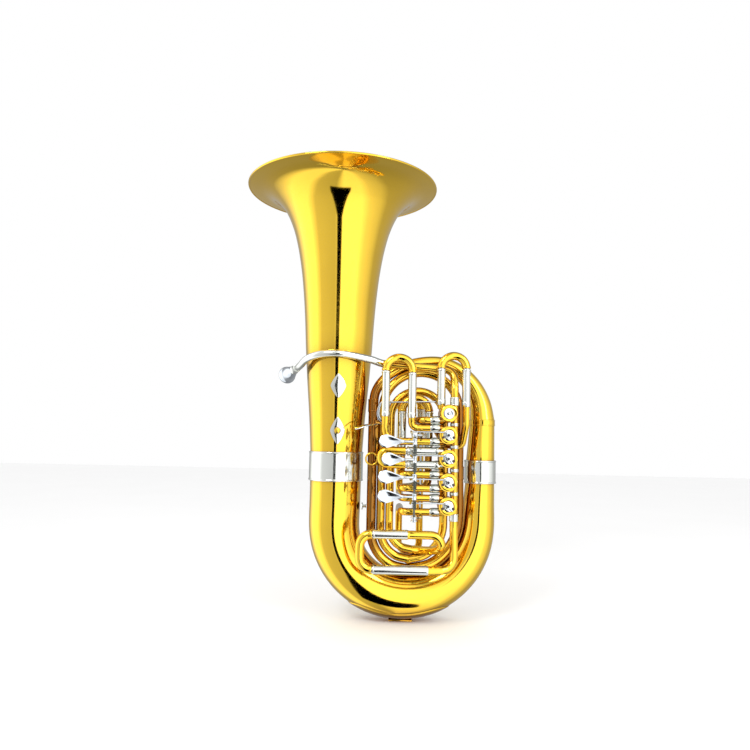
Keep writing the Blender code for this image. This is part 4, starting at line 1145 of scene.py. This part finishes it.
def hinge_bracket():
    """Foot block and eye on the hinge rod, carried by two curved arms on an upright."""
    low, high = corners("hinge_bracket")
    post_x = 34 * MM
    post_y = VALVE_Y + 12 * MM
    shape = bmesh.new()
    bore = 2.4 * MM
    foot = [(bore, low.z + 6 * MM), (5.2 * MM, low.z + 6 * MM), (6.0 * MM, low.z + 6.8 * MM),
            (6.0 * MM, low.z + 8.6 * MM), (5.0 * MM, low.z + 9.6 * MM), (5.0 * MM, low.z + 12 * MM),
            (6.0 * MM, low.z + 13 * MM), (6.0 * MM, low.z + 15.2 * MM), (5.2 * MM, low.z + 16 * MM),
            (bore, low.z + 16 * MM)]
    lathe(shape, foot, (hinge_x, hinge_y, 0), (0, 0, 1), 40)
    eye_low = high.z - 6.4 * MM
    eye = [(bore, eye_low), (4.2 * MM, eye_low), (4.7 * MM, eye_low + 0.6 * MM),
           (4.7 * MM, high.z - 0.6 * MM), (4.2 * MM, high.z), (bore, high.z)]
    lathe(shape, eye, (hinge_x, hinge_y, 0), (0, 0, 1), 40)
    low_z = low.z + 11 * MM
    low_arm = [Vector((hinge_x + 2 * MM, hinge_y + 4 * MM, low_z)), Vector((30 * MM, -100 * MM, low_z)),
               Vector((post_x, VALVE_Y - 11 * MM, low_z)), Vector((post_x, post_y - 4 * MM, low_z - 2 * MM)),
               Vector((post_x, post_y, low_z + 12 * MM))]
    top_z = high.z
    high_arm = [Vector((post_x, post_y + 2 * MM, top_z - 14 * MM)),
                Vector((post_x, VALVE_Y + 8 * MM, top_z - 1 * MM)),
                Vector((post_x, VALVE_Y - 12 * MM, top_z)), Vector((35 * MM, -104 * MM, top_z - 3 * MM)),
                Vector((31 * MM, -117 * MM, top_z - 3.5 * MM)),
                Vector((hinge_x + 4 * MM, hinge_y + 1 * MM, top_z - 3.5 * MM))]
    for route in (low_arm, high_arm):
        path = curve_through(route, 8)
        sweep(shape, path, [2.5 * MM] * len(path), 24)
        ball(shape, path[0], 2.5 * MM, 8, 24)
        ball(shape, path[-1], 2.5 * MM, 8, 24)
    bar(shape, low_arm[-1], high_arm[0], 2.5 * MM, 24)
    piece_from("hinge_bracket_frame", shape, SILVER, stands_for=("hinge_bracket",))


hinge_bracket()


# ---- Thumb lever and thumb ring -----------------------------------------------------------
def flat_bar(shape, path, widths, thickness, facing):
    """A flat strip along a path; facing is the direction that its broad side looks to."""
    section = []
    for step in range(24):
        angle = math.tau * step / 24
        wide = math.copysign(abs(math.cos(angle)) ** 0.55, math.cos(angle))
        deep = math.copysign(abs(math.sin(angle)) ** 0.8, math.sin(angle))
        section.append((wide, deep))
    rings = []
    for index, point in enumerate(path):
        before = path[max(index - 1, 0)]
        after = path[min(index + 1, len(path) - 1)]
        along = (after - before).normalized()
        across = along.cross(facing).normalized()
        outward = across.cross(along).normalized()
        rings.append([shape.verts.new(point + across * (wide * widths[index])
                                      + outward * (deep * thickness)) for wide, deep in section])
    for first, second in zip(rings, rings[1:]):
        for step in range(len(section)):
            after = (step + 1) % len(section)
            shape.faces.new((first[step], first[after], second[after], second[step]))
    shape.faces.new(rings[0])
    shape.faces.new(rings[-1])


def thumb_lever():
    """Rocker on its pivot: a flat upright arm to the link, and a curved thumb touch."""
    pivot = Vector(JOINTS["thumb_lever"]["pos_m"])
    tip = pivot + at(7.778, 0, 42.291)
    shape = bmesh.new()
    bow_x = -51.0 * MM
    path = curve_through([pivot + at(-2, 0, 2), Vector((bow_x, pivot.y, pivot.z + 11 * MM)),
                          Vector((bow_x, pivot.y, pivot.z + 32 * MM)),
                          Vector((bow_x + 7 * MM, pivot.y, tip.z)), tip], 10)
    widths = [(3.4 - 0.9 * index / (len(path) - 1)) * MM for index in range(len(path))]
    flat_bar(shape, path, widths, 1.4 * MM, Vector((0, -1, 0)))
    bar(shape, tip - at(0, 3, 0), tip + at(0, 3, 0), 1.6 * MM, 20)
    lathe(shape, [(0.0, -2.2 * MM), (2.6 * MM, -2.2 * MM), (3.0 * MM, -1.8 * MM),
                  (3.0 * MM, 1.8 * MM), (2.6 * MM, 2.2 * MM), (0.0, 2.2 * MM)], tip, (0, 1, 0), 28)
    barrel = [(2.6 * MM, -4.5 * MM), (4.8 * MM, -4.5 * MM), (5.2 * MM, -4.0 * MM),
              (5.2 * MM, 4.0 * MM), (4.8 * MM, 4.5 * MM), (2.6 * MM, 4.5 * MM)]
    lathe(shape, barrel, pivot, (0, 1, 0), 40)
    piece_from("thumb_lever_arm", shape, SILVER, "thumb_lever", ("thumb_lever",))
    shape = bmesh.new()
    route = [pivot + at(-3.5, -1, 0), at(-52, -60, 396), at(-76, -76, 392.5), at(-98, -86, 385)]
    path = curve_through(route, 12)
    count = len(path) - 1
    widths = []
    for index in range(count + 1):
        share = index / count
        swell = 2.0 + 3.6 * max(0.0, (share - 0.35) / 0.65) ** 0.8
        round_end = math.sqrt(max(0.02, 1 - max(0.0, (share - 0.93) / 0.07) ** 2))
        widths.append(swell * round_end * MM)
    flat_bar(shape, path, widths, 1.3 * MM, Vector((0.25, -0.2, 0.95)).normalized())
    piece_from("thumb_lever_touch", shape, SILVER, "thumb_lever", ("thumb_lever",))
    shape = bmesh.new()
    bar(shape, pivot - at(0, 6.0, 0), pivot + at(0, 6.2, 0), 2.0 * MM, 24)
    lathe(shape, rounded_disc(3.8 * MM, 1.6 * MM), pivot - at(0, 4.9, 0), (0, -1, 0), 28)
    piece_from("thumb_lever_screw", shape, STEEL)
    spiral_path = []
    for index in range(61):
        angle = math.tau * index / 16
        spiral_path.append(pivot + Vector((3.4 * MM * math.cos(angle), (5.2 + index * 0.06) * MM,
                                           3.4 * MM * math.sin(angle))))
    shape = bmesh.new()
    sweep(shape, spiral_path, [0.45 * MM] * len(spiral_path), 8)
    piece_from("thumb_lever_spring", shape, STEEL)


def thumb_link():
    low, high = corners("thumb_link_rod")
    tip = Vector(JOINTS["thumb_lever"]["pos_m"]) + at(7.778, 0, 42.291)
    rotor = Vector(JOINTS["rotor_1"]["pos_m"])
    goal = Vector((rotor.x + 7.778 * MM, high.y - 1.5 * MM, rotor.z + 7.778 * MM))
    route = [tip + at(3.1, 0, 0), Vector((66 * MM, tip.y, 443.3 * MM)),
             Vector((70 * MM, tip.y + 1.6 * MM, 442.6 * MM)), Vector((77 * MM, goal.y - 1.6 * MM, 438 * MM)),
             Vector((80 * MM, goal.y, 436 * MM)), goal - at(3.1, 0, 0)]
    shape = bmesh.new()
    path = curve_through(route, 8)
    sweep(shape, path, [1.4 * MM] * len(path), 20)
    ball(shape, path[0], 1.4 * MM, 8, 20)
    ball(shape, path[-1], 1.4 * MM, 8, 20)
    bar(shape, tip + at(3.4, 0, 0), tip + at(10, 0, 0), 2.4 * MM, 24)
    piece_from("thumb_link_bar", shape, SILVER, "thumb_link_rod", ("thumb_link_rod",))


def thumb_ring():
    """Plate on the coil that carries the lever's stud and the ring for the thumb."""
    low, high = corners("thumb_ring")
    ring_centre = at(-64.5, -54, 326)
    shape = bmesh.new()
    rounded_block(shape, at(-60, -33, 312), at(-52, -31, 404), 0.8 * MM)
    arm = curve_through([at(-56, -32, 398), at(-44, -36, 398), at(-40, -44, 398), at(-40, -51.8, 398)],
                        8)
    sweep(shape, arm, [2.0 * MM] * len(arm), 20)
    post = curve_through([at(-56, -32, 316), at(-62, -42, 314), ring_centre + at(0, 0, -11.4)], 8)
    sweep(shape, post, [1.9 * MM] * len(post), 20)
    # The plate takes the coil brass with its painted shade, so it is dark where it stands left of the coil.
    piece_from("thumb_ring_plate", shape, COIL_BRASS_SHADED, stands_for=("thumb_ring",))
    shape = bmesh.new()
    section = []
    for step in range(16):
        angle = math.tau * step / 16
        section.append(((11.5 + 1.7 * math.cos(angle)) * MM, 1.7 * math.sin(angle) * MM))
    lathe(shape, section, ring_centre, (0, 1, 0), 64)
    piece_from("thumb_ring_loop", shape, BRASS, stands_for=("thumb_ring",))


thumb_lever()
thumb_link()
thumb_ring()


# ---- Bell fittings ------------------------------------------------------------------------
def bell_plate(name, node, width, height, thickness, material):
    """A diamond plate with rounded points that follows the curve of the bell."""
    low, high = corners(node)
    middle_x = (low.x + high.x) / 2
    middle_z = (low.z + high.z) / 2
    shape = bmesh.new()
    around = 64
    rows = []
    for scale, lift in ((0.0, thickness), (0.5, thickness), (0.9, thickness),
                        (0.98, thickness * 0.75), (1.0, thickness * 0.3), (1.0, -0.4 * MM)):
        row = []
        for step in range(around):
            angle = math.tau * step / around
            power = 1.25
            size = (abs(math.cos(angle)) ** power + abs(math.sin(angle)) ** power) ** (-1 / power)
            u = width * size * math.cos(angle) * scale
            v = height * size * math.sin(angle) * scale
            z = middle_z + v
            reach = bell_radius(z) + lift
            turn = (middle_x - BELL_AXIS.x + u) / bell_radius(z)
            row.append(shape.verts.new((BELL_AXIS.x + reach * math.sin(turn),
                                        -reach * math.cos(turn), z)))
        rows.append(row)
    for first, second in zip(rows, rows[1:]):
        for step in range(around):
            after = (step + 1) % around
            shape.faces.new((first[step], first[after], second[after], second[step]))
    shape.faces.new(rows[-1])
    bmesh.ops.remove_doubles(shape, verts=shape.verts, dist=0.005 * MM)
    piece_from(name, shape, material, stands_for=(node,))


bell_plate("bell_flange_plate", "bell_flange", 16 * MM, 25 * MM, 1.4 * MM, NICKEL)
bell_plate("lyre_socket_plate", "lyre_socket", 15 * MM, 28 * MM, 1.4 * MM, NICKEL)
knob_low, knob_high = corners("lyre_socket")
knob = [(0.0, 0.0), (6.4 * MM, 0.0), (6.6 * MM, 1.0 * MM), (5.2 * MM, 2.6 * MM), (4.6 * MM, 4.4 * MM),
        (5.6 * MM, 6.4 * MM), (6.0 * MM, 8.2 * MM), (5.2 * MM, 10.0 * MM), (2.4 * MM, 10.8 * MM),
        (0.0, 11.0 * MM)]
turned_piece("lyre_socket_knob", knob, ((knob_low.x + knob_high.x) / 2, knob_low.y + 12 * MM,
                                        (knob_low.z + knob_high.z) / 2), (0, -1, 0), BRASS)

brace_low, brace_high = corners("bell_brace")
brace_y = (brace_low.y + brace_high.y) / 2
brace_z = (brace_low.z + brace_high.z) / 2
length = brace_high.x - brace_low.x
spindle = [(0.0, 0.0), (8.0 * MM, 0.0), (7.6 * MM, 1.2 * MM), (3.6 * MM, 2.4 * MM),
           (2.6 * MM, length * 0.3), (2.6 * MM, length * 0.42), (3.6 * MM, length * 0.46),
           (3.6 * MM, length * 0.54), (2.6 * MM, length * 0.58), (2.6 * MM, length * 0.8),
           (4.0 * MM, length - 0.8 * MM), (4.0 * MM, length), (0.0, length)]
turned_piece("bell_brace_spindle", spindle, (brace_low.x, brace_y, brace_z), (1, 0, 0), NICKEL,
             stands_for=("bell_brace",))


# ---- Camera, light and floor --------------------------------------------------------------
def camera():
    """Camera in front of the valves, a little low and pitched up."""
    pitch = math.radians(5.3)
    roll = math.radians(1.2)
    forward = Vector((0, math.cos(pitch), math.sin(pitch)))
    upward = Vector((0, -math.sin(pitch), math.cos(pitch)))
    side = Vector((1, 0, 0)) * math.cos(roll) + upward * math.sin(roll)
    upward = upward * math.cos(roll) - Vector((1, 0, 0)) * math.sin(roll)
    lens = bpy.data.cameras.new("camera")
    lens.lens = 32.0
    lens.sensor_width = 36.0
    holder = bpy.data.objects.new("camera", lens)
    bpy.context.scene.collection.objects.link(holder)
    place = Matrix((side, upward, -forward)).transposed().to_4x4()
    place.translation = Vector((-0.061, -1.40, 0.370))
    holder.matrix_world = place
    bpy.context.scene.camera = holder


def area_light(name, place, target, size, power, colour=(1, 1, 1)):
    light = bpy.data.lights.new(name, "AREA")
    light.shape = "RECTANGLE"
    light.size, light.size_y = size
    light.energy = power
    light.color = colour
    holder = bpy.data.objects.new(name, light)
    bpy.context.scene.collection.objects.link(holder)
    holder.location = place
    holder.rotation_euler = (Vector(target) - Vector(place)).to_track_quat("-Z", "Y").to_euler()


def studio():
    """White room for the camera; what the metal mirrors is a studio of bright walls.

    The walls change tone round the compass, and a dark slot stands where the camera is, wider
    towards the floor as a standing figure would be."""
    look = Nodes.__new__(Nodes)
    world = bpy.data.worlds.new("studio")
    world.use_nodes = True
    bpy.context.scene.world = world
    look.tree = world.node_tree
    background = look.tree.nodes["Background"]
    parts = look.add("ShaderNodeSeparateXYZ")
    look.set(parts, 0, look.add("ShaderNodeTexCoord").outputs["Generated"])

    def math_node(operation, first, second=0.0):
        made = look.add("ShaderNodeMath")
        made.operation = operation
        look.set(made, 0, first)
        look.set(made, 1, second)
        return made.outputs[0]

    def ramp(value, stops):
        made = look.add("ShaderNodeValToRGB")
        look.set(made, 0, value)
        elements = made.color_ramp.elements
        while len(elements) < len(stops):
            elements.new(0.5)
        for element, (place, tone) in zip(elements, stops):
            element.position = place
            element.color = (tone, tone, tone, 1.0)
        return made.outputs[0]

    toward = math_node("MULTIPLY", parts.outputs["Y"], -1.0)
    compass = math_node("ARCTAN2", parts.outputs["X"], toward)
    turn = look.remap(compass, 0.0, 1.0, -math.pi, math.pi)
    height = look.remap(parts.outputs["Z"], 0.0, 1.0, -1.0, 1.0)
    walls = ramp(turn, [((degrees + 180) / 360, tone) for degrees, tone in WALL_TONES])
    rise = ramp(height, [((level + 1) / 2, tone) for level, tone in HEIGHT_TONES])
    bright = math_node("MULTIPLY", walls, rise)
    off_slot = math_node("ABSOLUTE", math_node("SUBTRACT", compass, math.radians(SLOT_CENTRE)))
    widening = look.remap(parts.outputs["Z"], math.radians(SLOT_FOOT), math.radians(SLOT_HALF),
                          SLOT_FLOOR, SLOT_WAIST)
    beyond = math_node("SUBTRACT", off_slot, widening)
    in_slot = look.remap(beyond, 1.0, 0.0, -0.02, 0.012)
    above = look.remap(parts.outputs["Z"], 0.0, 1.0, SLOT_FLOOR - 0.02, SLOT_FLOOR)
    below = look.remap(parts.outputs["Z"], 1.0, 0.0, SLOT_TOP - 0.03, SLOT_TOP)
    in_height = math_node("MULTIPLY", above, below)
    dark = math_node("SUBTRACT", 1.0, math_node("MULTIPLY", in_slot, in_height))
    mirrored = math_node("MULTIPLY", math_node("MULTIPLY", bright, dark), WALL_POWER)
    rays = look.add("ShaderNodeLightPath")
    choose = look.tree.nodes.new("ShaderNodeMix")
    choose.data_type = "FLOAT"
    look.set(choose, "Factor", rays.outputs["Is Glossy Ray"])
    look.set(choose, 2, 1.0)
    look.set(choose, 3, mirrored)
    look.tree.links.new(choose.outputs[0], background.inputs["Strength"])
    background.inputs["Color"].default_value = (1.0, 1.0, 1.0, 1.0)


# Tone of the studio's walls by compass angle in degrees, 0 towards the camera and positive to
# the right, and by height from straight down (-1) to straight up (1).
WALL_TONES = (
    (-180, 0.20), (-142, 0.24), (-126, 0.55), (-112, 0.86), (-76, 0.86), (-58, 0.44), (-14, 0.37),
    (4, 0.92), (46, 0.90), (64, 0.62), (90, 0.46), (106, 0.28), (180, 0.20),
)
HEIGHT_TONES = ((-1.0, 0.7), (-0.5, 0.9), (0.0, 1.0), (0.5, 1.0), (0.8, 0.7), (1.0, 0.5))
WALL_POWER = 2.0
SLOT_CENTRE = -3.3
SLOT_HALF = 6.0
SLOT_FOOT = 26.0
SLOT_TOP = 0.09
SLOT_WAIST = -0.33
SLOT_FLOOR = -0.80


def floor():
    """Pale seamless floor under the instrument."""
    shape = bmesh.new()
    size = 6.0
    bmesh.ops.create_grid(shape, x_segments=8, y_segments=8, size=size)
    mesh = bpy.data.meshes.new("floor")
    shape.to_mesh(mesh)
    shape.free()
    look = Nodes("floor_paint")
    grain = look.noise(3.0, 2.0)
    look.set(look.shader, "Base Color", look.mix(grain, (0.97, 0.97, 0.97), (0.94, 0.94, 0.94)))
    look.set(look.shader, "Roughness", 0.8)
    rays = look.add("ShaderNodeLightPath")
    clear = look.add("ShaderNodeBsdfTransparent")
    choose = look.add("ShaderNodeMixShader", Fac=rays.outputs["Is Glossy Ray"])
    look.tree.links.new(look.shader.outputs[0], choose.inputs[1])
    look.tree.links.new(clear.outputs[0], choose.inputs[2])
    look.tree.links.new(choose.outputs[0], look.tree.nodes["Material Output"].inputs["Surface"])
    mesh.materials.append(look.material)
    ground = bpy.data.objects.new("floor", mesh)
    ground.location.z = -0.6 * MM
    bpy.context.scene.collection.objects.link(ground)


camera()
studio()
area_light("key", (-1.0, -1.5, 1.9), (0, 0, 0.45), (0.7, 0.7), 16)
area_light("fill", (1.3, -1.4, 1.3), (0, 0, 0.35), (0.5, 1.0), 9)
floor()
bpy.context.scene.view_settings.view_transform = "Standard"
